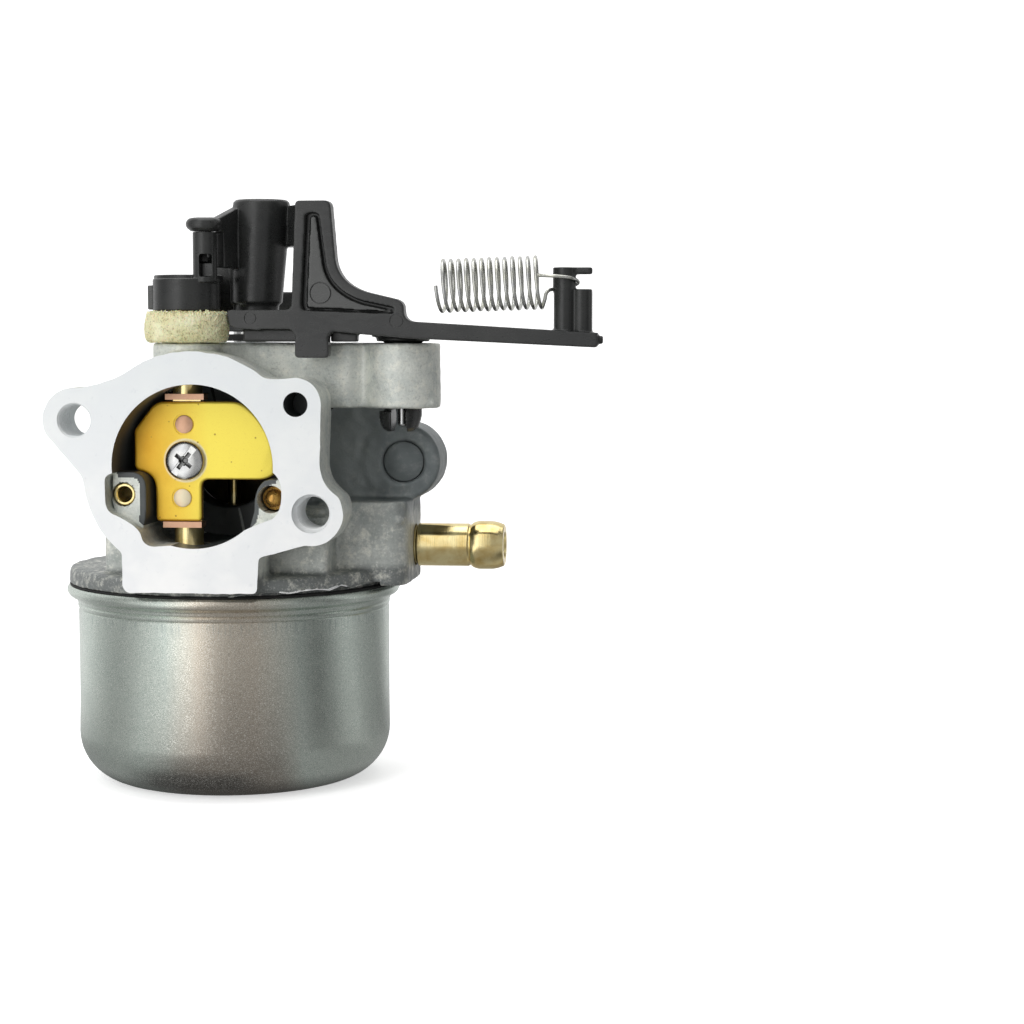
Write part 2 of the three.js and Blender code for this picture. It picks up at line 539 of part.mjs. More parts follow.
function bracketOutline() {
  const shape = new THREE.Shape();
  shape.moveTo(4.1, 68.9);
  shape.lineTo(10.5, 68.5);
  shape.lineTo(13.4, 68.5);
  shape.lineTo(30, 67.3);
  shape.lineTo(57.2, 66.2);
  shape.quadraticCurveTo(58, 67.2, 57.2, 68.3);
  shape.lineTo(30.2, 69.8);
  shape.lineTo(29.3, 72);
  shape.quadraticCurveTo(29, 72.8, 28.4, 73);
  shape.lineTo(23.6, 74.2);
  shape.bezierCurveTo(20.6, 75.2, 19.7, 76.8, 19.5, 79);
  shape.lineTo(18.9, 86.2);
  shape.quadraticCurveTo(18.8, 87.1, 18, 87.1);
  shape.lineTo(14.4, 87.1);
  shape.quadraticCurveTo(13.7, 87.1, 13.7, 86.4);
  shape.lineTo(13.1, 71.9);
  shape.lineTo(12.2, 71.3);
  shape.lineTo(4.7, 71.5);
  shape.quadraticCurveTo(4.1, 71.5, 4.1, 70.9);
  return shape;
}

function bracketRecess() {
  const shape = new THREE.Shape();
  shape.moveTo(14.7, 71.6);
  shape.lineTo(27.6, 70.9);
  shape.lineTo(27.5, 71.9);
  shape.lineTo(22.6, 73);
  shape.bezierCurveTo(19.4, 74.2, 18.3, 76, 18.1, 78.6);
  shape.lineTo(17.3, 85.2);
  shape.quadraticCurveTo(16.4, 85.8, 15.2, 85.2);
  return shape;
}

function knobArm() {
  const reach = Math.hypot(ARM_END.x - KNOB.x, ARM_END.y - KNOB.y);
  const profile = polygon([
    [0, KNOB.z0], [3.4, KNOB.z0], [3.4, 77.6], [reach, 77.6], [reach, TOWER.top - 0.4],
    [reach - 1, TOWER.top - 0.4], [2, KNOB.top], [0, KNOB.top],
  ]);
  const heading = Math.atan2(ARM_END.y - KNOB.y, ARM_END.x - KNOB.x);
  return foreAft(profile, -0.7, 0.7).rotate([0, 0, THREE.MathUtils.radToDeg(heading)])
    .translate([KNOB.x, KNOB.y, 0]);
}

function snapLegs() {
  const shank = rodZ(PIVOT.x, PIVOT.y, 54, 68, 2.75);
  const barb = rodZ(PIVOT.x, PIVOT.y, 54, BLOCK_Z - 0.4, 2.4, 3.35);
  const slot = box(PIVOT.x - 0.85, PIVOT.x + 0.85, PIVOT.y - 4, PIVOT.y + 4, 53, 65.5);
  return cut(join(shank, barb), slot);
}

function springPost() {
  const back = WALL_Y + 0.6;
  const lobes = join(
    upright(tapered(52.9, back + 1.2, 1.5, 52.9, back + 2.4, 1.5), 68, 74.6),
    upright(tapered(55.2, back + 1.6, 1.3, 55.2, back + 2.6, 1.3), 68, 74.3),
  );
  const pin = rodZ(52.9, back + 1.5, 74, 77.4, 1.35);
  const hook = box(52.9, 57.2, back + 0.9, back + 2.1, 76.4, 77.4);
  const nub = rodY(57.9, 67.2, WALL_Y + 0.8, WALL_Y + 3.2, 0.6);
  return join(lobes, pin, hook, nub);
}

function controlLever() {
  const bracket = foreAft(bracketOutline(), WALL_Y, WALL_Y + WALL_T);
  const recess = foreAft(bracketRecess(), WALL_Y - 1, WALL_Y + 1);
  const mark = rodY(17.3, 73.9, WALL_Y + 0.8, WALL_Y + 1.2, 1.5);
  const foot = box(13.4, 18.5, WALL_Y, WALL_Y + 2, 64.6, 70);
  const armBack = foreAft(polygon([[20, 68.2], [30, 67.4], [57, 66.4], [57, 68.2], [30, 69.7], [20, 70]]),
    WALL_Y + WALL_T - 0.5, WALL_Y + 5.2);
  const floor = upright(polygon([
    [4.3, WALL_Y + 1], [30, WALL_Y + 1], [30, PIVOT.y], [24, PIVOT.y + 2], [12, -4.5], [5, -4.5],
  ]), 69.2, 71.2);
  const hub = rodZ(PIVOT.x, PIVOT.y, 67.6, 71.2, 4.6, 4.6, 28);
  const pad = rodZ(PIVOT.x, PIVOT.y, TOP_Z + GAP, 68, 3.9, 3.9, 28);
  const tower = rodZ(TOWER.x, TOWER.y, TOWER.z0 - 0.6, TOWER.top, TOWER.r, TOWER.r - 0.1, 32);
  const collar = rodZ(TOWER.x, TOWER.y, 70.5, 72.3, TOWER.r - 0.4, TOWER.r - 0.4, 32);
  const towerBore = rodZ(TOWER.x, TOWER.y, 73, TOWER.top + 1, 1.9, 1.9, 20);
  const rib = upright(polygon([
    [9.8, -6.6], [14, -14.6], [15.4, -14.6], [11.2, -5.4],
  ]), 80.8, 86.8);
  const skirts = [[5, 13.6], [18.3, 22.5]].map(([x0, x1]) => box(x0, x1, -14.5, -12.7, TOP_Z + 0.4, 69.6));
  const knob = rodZ(KNOB.discX, KNOB.y, KNOB.z0, KNOB.top, KNOB.r, KNOB.r, 28);
  const pin = rodZ(KNOB.x, KNOB.y, 79, KNOB.z0 + 0.5, 0.45, 0.45, 12);
  const solid = join(bracket.subtract(recess), mark, foot, armBack, floor, ...skirts, hub, pad, tower, collar,
    rib, knobArm(), knob, pin, snapLegs(), springPost());
  return cut(solid, towerBore);
}

addPiece('control_lever', controlLever(), BLACK_PLASTIC);
addPiece('pivot_lock_pin', rodZ(PIVOT.x, PIVOT.y, 55, 65, 0.55, 0.55, 12), STEEL);

// Close-wound extension spring: coil along X, with a leg at each end towards the post.
function governorSpring() {
  const axis = { y: WALL_Y + 0.4, z: 75.2 };
  const coilR = 3.35;
  const x0 = 34.8;
  const pitch = 1.08;
  const turns = 13;
  const perTurn = 10;
  const points = [];
  for (let i = 0; i <= turns * perTurn; i += 1) {
    const turn = i / perTurn;
    const a = (turn + 0.25) * 2 * Math.PI;
    const x = x0 + turn * pitch;
    points.push(new THREE.Vector3(x, axis.y + coilR * Math.cos(a), axis.z + coilR * Math.sin(a)));
  }
  const end = x0 + turns * pitch;
  points.push(new THREE.Vector3(end + 0.8, axis.y - 0.6, axis.z + 1.9));
  points.push(new THREE.Vector3(end + 3, WALL_Y - 0.4, axis.z + 0.7));
  points.push(new THREE.Vector3(end + 6, WALL_Y - 0.5, axis.z + 0.4));
  const path = new THREE.CatmullRomCurve3(points, false, 'centripetal');
  const wire = new THREE.Shape();
  wire.absarc(0, 0, 0.2, 0, 2 * Math.PI, false);
  return toSolid(new THREE.ExtrudeGeometry(wire, {
    steps: points.length - 1, extrudePath: path, curveSegments: 3, bevelEnabled: false,
  }));
}

addPiece('governor_spring', governorSpring(), STEEL);

// ---------- stand the part on its bowl foot, centred ----------
const bounds = new THREE.Box3().setFromObject(part);
part.position.set(-(bounds.min.x + bounds.max.x) / 2, -(bounds.min.y + bounds.max.y) / 2, -bounds.min.z);

export default part;
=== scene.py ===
"""Looks of a small-engine carburetor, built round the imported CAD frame.

Pieces are modelled in millimetres in the part's natural frame, with the bowl's axis at X 0, BOWL_Y and
its foot at Z 0, then placed in the row frame. -Y faces the air cleaner, +X the fuel hose.
"""
import math

import bmesh
import bpy
import numpy as np
from mathutils import Matrix, Vector


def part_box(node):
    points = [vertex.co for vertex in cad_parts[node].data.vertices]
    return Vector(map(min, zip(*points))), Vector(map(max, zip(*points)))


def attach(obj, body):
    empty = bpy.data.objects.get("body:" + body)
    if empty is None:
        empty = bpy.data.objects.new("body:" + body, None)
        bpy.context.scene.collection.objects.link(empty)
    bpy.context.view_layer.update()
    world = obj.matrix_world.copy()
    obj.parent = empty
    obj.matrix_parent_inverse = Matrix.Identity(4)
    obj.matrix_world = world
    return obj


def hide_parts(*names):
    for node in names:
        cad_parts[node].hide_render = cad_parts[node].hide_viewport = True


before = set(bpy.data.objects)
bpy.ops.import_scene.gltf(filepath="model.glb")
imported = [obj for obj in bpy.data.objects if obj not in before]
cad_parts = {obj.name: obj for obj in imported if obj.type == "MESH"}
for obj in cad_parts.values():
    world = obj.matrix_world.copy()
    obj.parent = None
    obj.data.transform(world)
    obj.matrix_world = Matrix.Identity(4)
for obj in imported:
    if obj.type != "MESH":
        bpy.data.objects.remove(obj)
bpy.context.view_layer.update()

# ---------- driving dimensions, mm ----------
MM = 0.001
BOWL_Y = 2.0
BORE_Z = 49.2
FRONT_Y = -24.0
REAR_Y = 28.0
FLANGE_T = 8.3
REAR_T = 6.0
CHAMBER_R = 11.7
THROAT_R = 9.2
EAR_X = 17.1
EAR_Z = 6.55
COVER_Z = 30.9
SEAM_LOW, SEAM_HIGH = 30.1, 30.45
COVER_R = 25.0
BOWL_R = 23.8
RIM_R = 25.4
BOWL_T = 0.8
FLOOR_Z = 5.1
TOP_Z = 66.7
BLOCK_Z = 57.2
CHOKE_X, CHOKE_Y, CHOKE_R = -2.5, -16.0, 2.8
THROTTLE_Y, THROTTLE_R = 14.0, 2.6
PIVOT_X, PIVOT_Y = 28.0, -8.5
INLET_Y, INLET_Z, INLET_X = 3.0, 35.9, 28.5
NEEDLE_X = 12.0
PLATE_Y = CHOKE_Y - 1.8
PLATE_T = 0.9
SCREW_Z = BORE_Z + 0.55
RIVET_Z = (BORE_Z + 5.8, BORE_Z - 4.9)
RIVET_X = (CHOKE_X - 0.15, CHOKE_X - 0.5)
AIR_JET = (-10.8, BORE_Z - 4.2, -20.0)
PLUG_JET = (10.6, BORE_Z - 4.8, -19.5)
BOSS_X, BOSS_Z, BOSS_R, BOSS_Y = 26.5, 48.8, 5.9, -1.0
PLUG_X = BOSS_X + 0.3
VENT_X, VENT_Z, VENT_R = 15, BORE_Z + 8.9, 1.75
WALL_Y, WALL_T = -17.0, 2.6
# Where each axis stands in the two other directions.
BORE, BOWL, CHOKE, THROTTLE = (0, BORE_Z), (0, BOWL_Y), (CHOKE_X, CHOKE_Y), (0, THROTTLE_Y)
PIVOT, INLET, SCREW = (PIVOT_X, PIVOT_Y), (INLET_Y, INLET_Z), (CHOKE_X, SCREW_Z)
HOUSING_X, HOUSING_Y = (-15.6, 17.6), (-14.8, 16.0)

gasket_low, gasket_high = (Vector(corner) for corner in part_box("bowl_gasket"))
ORIGIN = Vector(((gasket_low.x + gasket_high.x) / 2, (gasket_low.y + gasket_high.y) / 2 - BOWL_Y * MM, 0))
TO_ROW = Matrix.Translation(ORIGIN) @ Matrix.Scale(MM, 4)


# ---------- mesh helpers ----------
def add_to_scene(name, data):
    obj = bpy.data.objects.new(name, data)
    bpy.context.scene.collection.objects.link(obj)
    return obj


def make_object(name, bm):
    bmesh.ops.recalc_face_normals(bm, faces=bm.faces)
    mesh = bpy.data.meshes.new(name)
    bm.to_mesh(mesh)
    bm.free()
    return add_to_scene(name, mesh)


def axis_matrix(axis, a, b):
    """Takes a shape about Z to one about the named axis through the point a, b of the other two."""
    if axis == "Z":
        return Matrix.Translation((a, b, 0))
    if axis == "Y":
        return Matrix.Translation((a, 0, b)) @ Matrix.Rotation(-math.pi / 2, 4, "X")
    return Matrix.Translation((0, a, b)) @ Matrix.Rotation(math.pi / 2, 4, "Y")


def lathe(profile, axis="Z", a=0.0, b=0.0, sides=96):
    """Turns (radius, distance along the axis) points into a solid, a ring if none is on the axis."""
    bm = bmesh.new()
    closed = profile[0][0] > 0
    rings = []
    for radius, height in profile:
        if radius == 0:
            rings.append([bm.verts.new((0, 0, height))])
            continue
        turn = [2 * math.pi * i / sides for i in range(sides)]
        rings.append([bm.verts.new((radius * math.cos(t), radius * math.sin(t), height)) for t in turn])
    pairs = list(zip(rings, rings[1:]))
    if closed:
        pairs.append((rings[-1], rings[0]))
    for low, high in pairs:
        for i in range(sides):
            j = (i + 1) % sides
            corners = [low[i % len(low)], low[j % len(low)], high[j % len(high)], high[i % len(high)]]
            bm.faces.new(list(dict.fromkeys(corners)))
    bmesh.ops.transform(bm, matrix=axis_matrix(axis, a, b), verts=bm.verts)
    return make_object("lathe", bm)


def rod(axis, a, b, start, end, r0, r1=None, sides=64):
    r1 = r0 if r1 is None else r1
    return lathe([(0, start), (r0, start), (r1, end), (0, end)], axis, a, b, sides)


def block(x0, x1, y0, y1, z0, z1):
    return prism([(x0, y0), (x1, y0), (x1, y1), (x0, y1)], "Z", z0, z1)


def prism(points, axis, start, end):
    """A closed outline drawn out along Y (points are x, z) or Z (points are x, y)."""
    bm = bmesh.new()
    layers = []
    for depth in (start, end):
        layers.append([bm.verts.new((a, depth, b) if axis == "Y" else (a, b, depth)) for a, b in points])
    for layer in layers:
        bm.faces.new(layer)
    for i in range(len(points)):
        j = (i + 1) % len(points)
        bm.faces.new((layers[0][i], layers[0][j], layers[1][j], layers[1][i]))
    bm.normal_update()
    bmesh.ops.triangulate(bm, faces=[f for f in bm.faces if len(f.verts) > 4])
    return make_object("prism", bm)


def arc(cx, cy, r, start, end, steps=16):
    angles = [start + (end - start) * i / steps for i in range(steps + 1)]
    return [(cx + r * math.cos(t), cy + r * math.sin(t)) for t in angles]


def bend(p0, c, p1, steps=8):
    """A quadratic curve from p0 to p1 pulled towards c, without its first point."""
    points = []
    for i in range(1, steps + 1):
        t = i / steps
        points.append(tuple((1 - t) ** 2 * p0[k] + 2 * t * (1 - t) * c[k] + t * t * p1[k] for k in (0, 1)))
    return points


def outline(*parts):
    """Points, lists of points, and (pull, end, steps) curves that start at the last point so far."""
    points = []
    for part in parts:
        if isinstance(part, list):
            points += part
        elif isinstance(part[0], tuple):
            points += bend(points[-1], *part)
        else:
            points.append(part)
    return points


def tapered(ax, ay, ar, bx, by, br):
    """Two circles joined by their outer tangents."""
    heading = math.atan2(by - ay, bx - ax)
    lean = math.acos((ar - br) / math.hypot(bx - ax, by - ay))
    return (arc(ax, ay, ar, heading + lean, heading - lean + 2 * math.pi, 24)
            + arc(bx, by, br, heading - lean, heading + lean, 24))


def inset(points, distance):
    """The closed outline moved inwards, for an outline that turns anticlockwise."""
    moved = []
    for before, here, after in zip(points[-1:] + points[:-1], points, points[1:] + points[:1]):
        along = (Vector(after) - Vector(here)).normalized() + (Vector(here) - Vector(before)).normalized()
        side = Vector((-along.y, along.x)).normalized()
        moved.append(tuple(Vector(here) + side * distance))
    return moved


def rounded_plate(points, front, back, radius):
    """An anticlockwise x, z outline drawn out along Y with its front edge rounded."""
    bm = bmesh.new()
    turns = [math.pi / 2 * i / 5 for i in range(6)]
    steps = [(front + radius * (1 - math.sin(t)), radius * (1 - math.cos(t))) for t in reversed(turns)]
    steps.append((back, 0))
    layers = [[bm.verts.new((x, y, z)) for x, z in inset(points, depth)] for y, depth in steps]
    for low, high in zip(layers, layers[1:]):
        for i in range(len(points)):
            j = (i + 1) % len(points)
            bm.faces.new((low[i], low[j], high[j], high[i]))
    caps = [bm.faces.new(layers[0]), bm.faces.new(layers[-1])]
    bm.normal_update()
    bmesh.ops.triangulate(bm, faces=caps)
    return make_object("plate", bm)


def ball(x, y, z, r):
    bm = bmesh.new()
    centre = Matrix.Translation((x, y, z))
    bmesh.ops.create_uvsphere(bm, u_segments=32, v_segments=16, radius=r, matrix=centre)
    return make_object("ball", bm)


def lifted(points, dz=BORE_Z):
    return [(x, z + dz) for x, z in points]


def baked_mesh(obj):
    depsgraph = bpy.context.evaluated_depsgraph_get()
    return bpy.data.meshes.new_from_object(obj.evaluated_get(depsgraph))


def bake(obj):
    """Applies the object's modifiers."""
    mesh = baked_mesh(obj)
    obj.modifiers.clear()
    old = obj.data
    obj.data = mesh
    bpy.data.meshes.remove(old)
    return obj


def combine(base, others, operation):
    for other in others:
        modifier = base.modifiers.new("combine", "BOOLEAN")
        modifier.operation = operation
        modifier.solver = "MANIFOLD"
        modifier.object = other
    bake(base)
    for other in others:
        bpy.data.objects.remove(other)
    return base


def join(*solids):
    return combine(solids[0], solids[1:], "UNION")


def cut(solid, *tools):
    return combine(solid, tools, "DIFFERENCE")


def soften(obj, voxel, passes):
    """Rounds every edge, as a mould or die does."""
    remesh = obj.modifiers.new("remesh", "REMESH")
    remesh.mode = "VOXEL"
    remesh.voxel_size = voxel
    smooth = obj.modifiers.new("smooth", "SMOOTH")
    smooth.iterations = passes
    smooth.factor = 0.5
    return bake(obj)


def vectors(items, name):
    """The named vector of every vertex, normal or face, as rows."""
    values = np.empty(len(items) * 3)
    items.foreach_get(name, values)
    return values.reshape(-1, 3)


def ripple(obj, height, wavelength, seed, share_at=None):
    """Moves the surface in and out by a smooth random pattern, by each point's share of the height."""
    mesh = obj.data
    points = vectors(mesh.vertices, "co")
    normals = vectors(mesh.vertex_normals, "vector")
    draw = np.random.default_rng(seed)
    waves = 28
    directions = draw.normal(size=(waves, 3))
    directions /= np.linalg.norm(directions, axis=1, keepdims=True)
    pitch = 2 * math.pi / (wavelength * draw.uniform(0.6, 2.2, waves))
    phase = draw.uniform(0, 2 * math.pi, waves)
    pattern = np.sin(points @ (directions * pitch[:, None]).T + phase).sum(axis=1) / math.sqrt(waves)
    share = 1.0 if share_at is None else share_at(points)
    points = points + normals * (pattern * share * height)[:, None]
    mesh.vertices.foreach_set("co", points.ravel())
    mesh.update()
    return obj


def add_bevel(obj, width, angle):
    modifier = obj.modifiers.new("edges", "BEVEL")
    modifier.width = width
    modifier.segments = 2
    modifier.limit_method = "ANGLE"
    modifier.angle_limit = math.radians(angle)
    return obj


def bevel(obj, width):
    return bake(add_bevel(obj, width, 35))


def give(obj, *materials):
    obj.data.materials.clear()
    for material in materials:
        obj.data.materials.append(material)


def place(obj, name, body, material, *replaced, slot, crease=35):
    """Puts a finished piece in the row frame, on its body, in place of its CAD node. Its slot is not used."""
    obj.name = name
    obj.data.transform(TO_ROW)
    obj.data.shade_smooth()
    obj.data.set_sharp_from_angle(angle=math.radians(crease))
    flats = obj.modifiers.new("flats", "WEIGHTED_NORMAL")
    flats.keep_sharp = True
    if material is not None:
        give(obj, material)
    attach(obj, body)
    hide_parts(*replaced)
    return obj


# ---------- materials ----------
class Nodes:
    """A shader node tree, with short names for the nodes used here."""

    def __init__(self, node_tree):
        self.nodes = node_tree.nodes
        self.links = node_tree.links

    def put(self, socket, value):
        if isinstance(value, bpy.types.NodeSocket):
            self.links.new(value, socket)
        elif isinstance(value, tuple) and len(value) == 3 and socket.type == "RGBA":
            socket.default_value = (*value, 1)
        else:
            socket.default_value = value

    def add(self, kind, inputs, output=0, **settings):
        node = self.nodes.new("ShaderNode" + kind)
        for key, value in settings.items():
            setattr(node, key, value)
        for key, value in inputs.items():
            self.put(node.inputs[key], value)
        return node.outputs[output]

    def ramp(self, value, *stops):
        node = self.nodes.new("ShaderNodeValToRGB")
        elements = node.color_ramp.elements
        while len(elements) < len(stops):
            elements.new(0.5)
        for element, (at, colour) in zip(elements, stops):
            element.position = at
            element.color = (*colour, 1) if isinstance(colour, tuple) else (colour, colour, colour, 1)
        self.put(node.inputs["Fac"], value)
        return node.outputs["Color"]

    def span(self, value, low, high, to_low=0.0, to_high=1.0):
        return self.add("MapRange", {"Value": value, "From Min": low, "From Max": high,
                                     "To Min": to_low, "To Max": to_high}, "Result")

    def mix(self, share, a, b):
        return self.add("Mix", {"Factor": share, 6: a, 7: b}, 2, data_type="RGBA")

    def math(self, operation, a, b=0.0):
        return self.add("Math", {0: a, 1: b}, operation=operation)

    def times(self, a, b):
        return self.math("MULTIPLY", a, b)

    def plus(self, a, b):
        return self.math("ADD", a, b)

    def minus(self, a, b):
        return self.math("SUBTRACT", a, b)

    def distance(self, a, b):
        return self.math("SQRT", self.plus(self.times(a, a), self.times(b, b)))

    def part_of(self, vector, name):
        return self.add("SeparateXYZ", {0: vector}, name)


class Tree(Nodes):
    """A material's nodes, with coordinates in millimetres in the part's natural frame."""

    def __init__(self, name):
        self.material = bpy.data.materials.new(name)
        self.material.use_nodes = True
        super().__init__(self.material.node_tree)
        self.shader = self.nodes["Principled BSDF"]
        where = self.add("TexCoord", {}, "Object")
        shifted = self.add("VectorMath", {0: where, 1: ORIGIN}, operation="SUBTRACT")
        self.position = self.add("VectorMath", {0: shifted, "Scale": 1 / MM}, operation="SCALE")

    def finish(self, colour, roughness, normal=None, **others):
        values = {"Base Color": colour, "Roughness": roughness, **others}
        if normal is not None:
            values["Normal"] = normal
        for key, value in values.items():
            self.put(self.shader.inputs[key.replace("_", " ")], value)
        return self.material

    def axis(self, name):
        return self.part_of(self.position, name)

    def stretched(self, x, y, z):
        return self.add("VectorMath", {0: self.position, 1: (x, y, z)}, operation="MULTIPLY")

    def noise(self, size, detail=3.0, rough=0.55, vector=None, distortion=0.0):
        return self.add("TexNoise", {"Scale": 1 / size, "Detail": detail, "Roughness": rough,
                                     "Distortion": distortion, "Vector": vector or self.position}, "Fac")

    def cells(self, size):
        return self.add("TexVoronoi", {"Scale": 1 / size, "Vector": self.position}, "Distance")

    def bump(self, height, distance, strength=1.0):
        return self.add("Bump", {"Distance": distance * MM, "Strength": strength, "Height": height})


def cast_metal():
    """Die-cast alloy: scuffed pale on the outer faces and less scuffed in the recess behind them, whose
    darker colour is painted shade; the upper block and the front faces are painted paler as light.
    """
    tree = Tree("die_cast")
    back = tree.math("MAXIMUM", tree.span(tree.axis("Z"), 42, 39), tree.span(tree.axis("Y"), 12, 20))
    outer = tree.math("MAXIMUM", tree.span(tree.axis("Y"), -5.5, -8.5), back)
    cloud = tree.noise(4, 4)
    grain = tree.noise(0.4, 5, 0.7)
    streak = tree.noise(1.7, 6, 0.75)
    # Painted light: lit makes the upper block and the front faces paler.
    lit = tree.math("MAXIMUM", tree.span(tree.axis("Z"), 44, 57), tree.span(tree.axis("Y"), -17, -19))
    # Painted shade: dark is the colour of the recess behind the outer faces.
    dark = tree.ramp(cloud, (0.3, (0.15, 0.17, 0.175)), (0.7, (0.21, 0.235, 0.235)))
    pale = tree.ramp(cloud, (0.3, (0.42, 0.45, 0.43)), (0.7, (0.66, 0.68, 0.64)))
    pale = tree.mix(lit, pale, tree.ramp(cloud, (0.3, (0.56, 0.6, 0.57)), (0.7, (0.86, 0.88, 0.81))))
    pale = tree.mix(tree.span(tree.axis("Z"), 34, 33), pale, (0.22, 0.235, 0.23))
    # The painted shade in the recess is lighter where X is under 20 to 24.
    dark = tree.mix(tree.span(tree.axis("X"), 24, 20), dark, (0.36, 0.39, 0.39))
    colour = tree.mix(outer, dark, pale)
    scuff = tree.times(tree.ramp(streak, (0.5, 0.0), (0.68, 0.7)), tree.span(outer, 0, 1, 0.12, 1))
    colour = tree.mix(scuff, colour, (0.95, 0.94, 0.84))
    speck = tree.ramp(tree.cells(0.8), (0.07, 1.0), (0.2, 0.0))
    colour = tree.mix(tree.times(speck, scuff), colour, (1.0, 0.99, 0.92))
    pits = tree.times(tree.ramp(grain, (0.3, 0.4), (0.46, 0.0)), tree.span(outer, 0, 1, 0.3, 1))
    colour = tree.mix(pits, colour, (0.2, 0.21, 0.2))
    glint = tree.times(tree.ramp(grain, (0.56, 0.0), (0.68, 0.5)), outer)
    colour = tree.mix(glint, colour, (1.0, 1.0, 0.95))
    height = tree.plus(tree.times(grain, 0.8), streak)
    height = tree.times(height, tree.span(outer, 0, 1, 0.35, 1))
    return tree.finish(colour, tree.span(streak, 0.3, 0.7, 0.5, 0.36), tree.bump(height, 0.14, 0.7),
                       Metallic=0.4)


def machined_metal():
    tree = Tree("machined_face")
    smudge = tree.noise(8, 3)
    fine = tree.noise(1.1, 5, 0.7)
    # Painted light: the machined faces are paler towards the bottom and greyer towards the top.
    height = tree.span(tree.axis("Z"), 30, 66, 0, 1)
    colour = tree.mix(height, (1.0, 1.0, 0.99), (0.8, 0.83, 0.83))
    colour = tree.mix(tree.ramp(smudge, (0.42, 0.35), (0.62, 0.0)), colour, (0.72, 0.75, 0.78))
    colour = tree.mix(tree.ramp(fine, (0.6, 0.0), (0.74, 0.3)), colour, (0.6, 0.63, 0.67))
    lay = tree.noise(0.3, 2, vector=tree.stretched(0.05, 1, 1))
    return tree.finish(colour, tree.span(smudge, 0.3, 0.7, 0.4, 0.52),
                       tree.bump(lay, 0.02, 0.5), Metallic=0.12)


def bored_metal():
    # Painted shade: a near-black colour for the bored walls, for the shade inside the bore.
    tree = Tree("bored_metal")
    rings = tree.noise(0.25, 2, vector=tree.stretched(0.03, 1, 0.03))
    cloud = tree.noise(5, 3)
    colour = tree.ramp(cloud, (0.3, (0.06, 0.065, 0.066)), (0.7, (0.11, 0.12, 0.12)))
    return tree.finish(colour, tree.span(cloud, 0.3, 0.7, 0.36, 0.5),
                       tree.bump(rings, 0.03, 0.6), Metallic=0.2)


def zinc_steel():
    """Drawn, zinc-plated steel: a fine sparkle, faint draw marks and a tint that drifts round the wall,
    warmer at the front partly as a painted reflection, with painted shade on the lower middle of the wall and
    a painted dark reflection on the bottom corner.
    """
    tree = Tree("zinc_plated_steel")
    spangle = tree.noise(0.17, 2, 0.7, vector=tree.stretched(1, 1, 2))
    across = tree.axis("X")
    # Warmer at the front: partly the plating's own tint, partly a painted reflection.
    warm = tree.times(tree.span(across, -5, 0), tree.span(across, 8, 14, 1, 0))
    # Painted shade: the lower middle of the wall is painted a dark brown.
    low = tree.times(tree.span(tree.axis("Z"), 3, 24, 1, 0), tree.span(across, -9, -3))
    low = tree.times(low, tree.span(across, 11, 14.5, 1, 0))
    colour = tree.ramp(tree.noise(16, 3), (0.3, (0.54, 0.62, 0.565)), (0.7, (0.63, 0.7, 0.635)))
    colour = tree.mix(tree.times(warm, 0.9), colour, (0.62, 0.535, 0.43))
    colour = tree.mix(tree.times(low, 0.78), colour, (0.25, 0.21, 0.175))
    # Painted reflection: a dark crescent on the bottom corner, for the shadowed floor under the bowl.
    band = tree.times(tree.span(tree.axis("Z"), 0.9, 2.0), tree.span(tree.axis("Z"), 5.2, 3.6))
    middle = tree.times(tree.span(across, -13, -7), tree.span(across, 10, 5))
    painted_dark_reflection = tree.times(tree.times(band, middle), 0.8)
    colour = tree.mix(painted_dark_reflection, colour, (0.05, 0.045, 0.04))
    colour = tree.mix(tree.ramp(spangle, (0.52, 0.0), (0.66, 0.7)), colour, (1.0, 1.0, 0.94))
    colour = tree.mix(tree.ramp(spangle, (0.34, 0.55), (0.48, 0.0)), colour, (0.26, 0.28, 0.27))
    high = tree.times(tree.span(tree.axis("Z"), 24, 25.8), tree.span(tree.axis("Z"), 26.3, 26.5, 1, 0))
    scores = tree.ramp(tree.noise(0.3, 3, vector=tree.stretched(1, 1, 0.08)), (0.5, 0.0), (0.64, 0.4))
    colour = tree.mix(tree.times(high, scores), colour, (0.25, 0.31, 0.31))
    rough = tree.span(tree.noise(3, 3), 0.3, 0.7, 0.24, 0.32)
    return tree.finish(colour, rough, tree.bump(spangle, 0.009, 0.5), Metallic=0.95)


def brass(name="polished_brass", light=(0.97, 0.83, 0.44), dark=(0.74, 0.54, 0.2), rough=(0.12, 0.24)):
    tree = Tree(name)
    cloud = tree.noise(2.5, 4)
    turned = tree.noise(0.22, 2, vector=tree.stretched(1, 0.06, 0.06))
    colour = tree.ramp(cloud, (0.3, dark), (0.62, light))
    return tree.finish(colour, tree.span(cloud, 0.3, 0.7, *rough),
                       tree.bump(tree.plus(turned, cloud), 0.018, 0.5), Metallic=1.0)


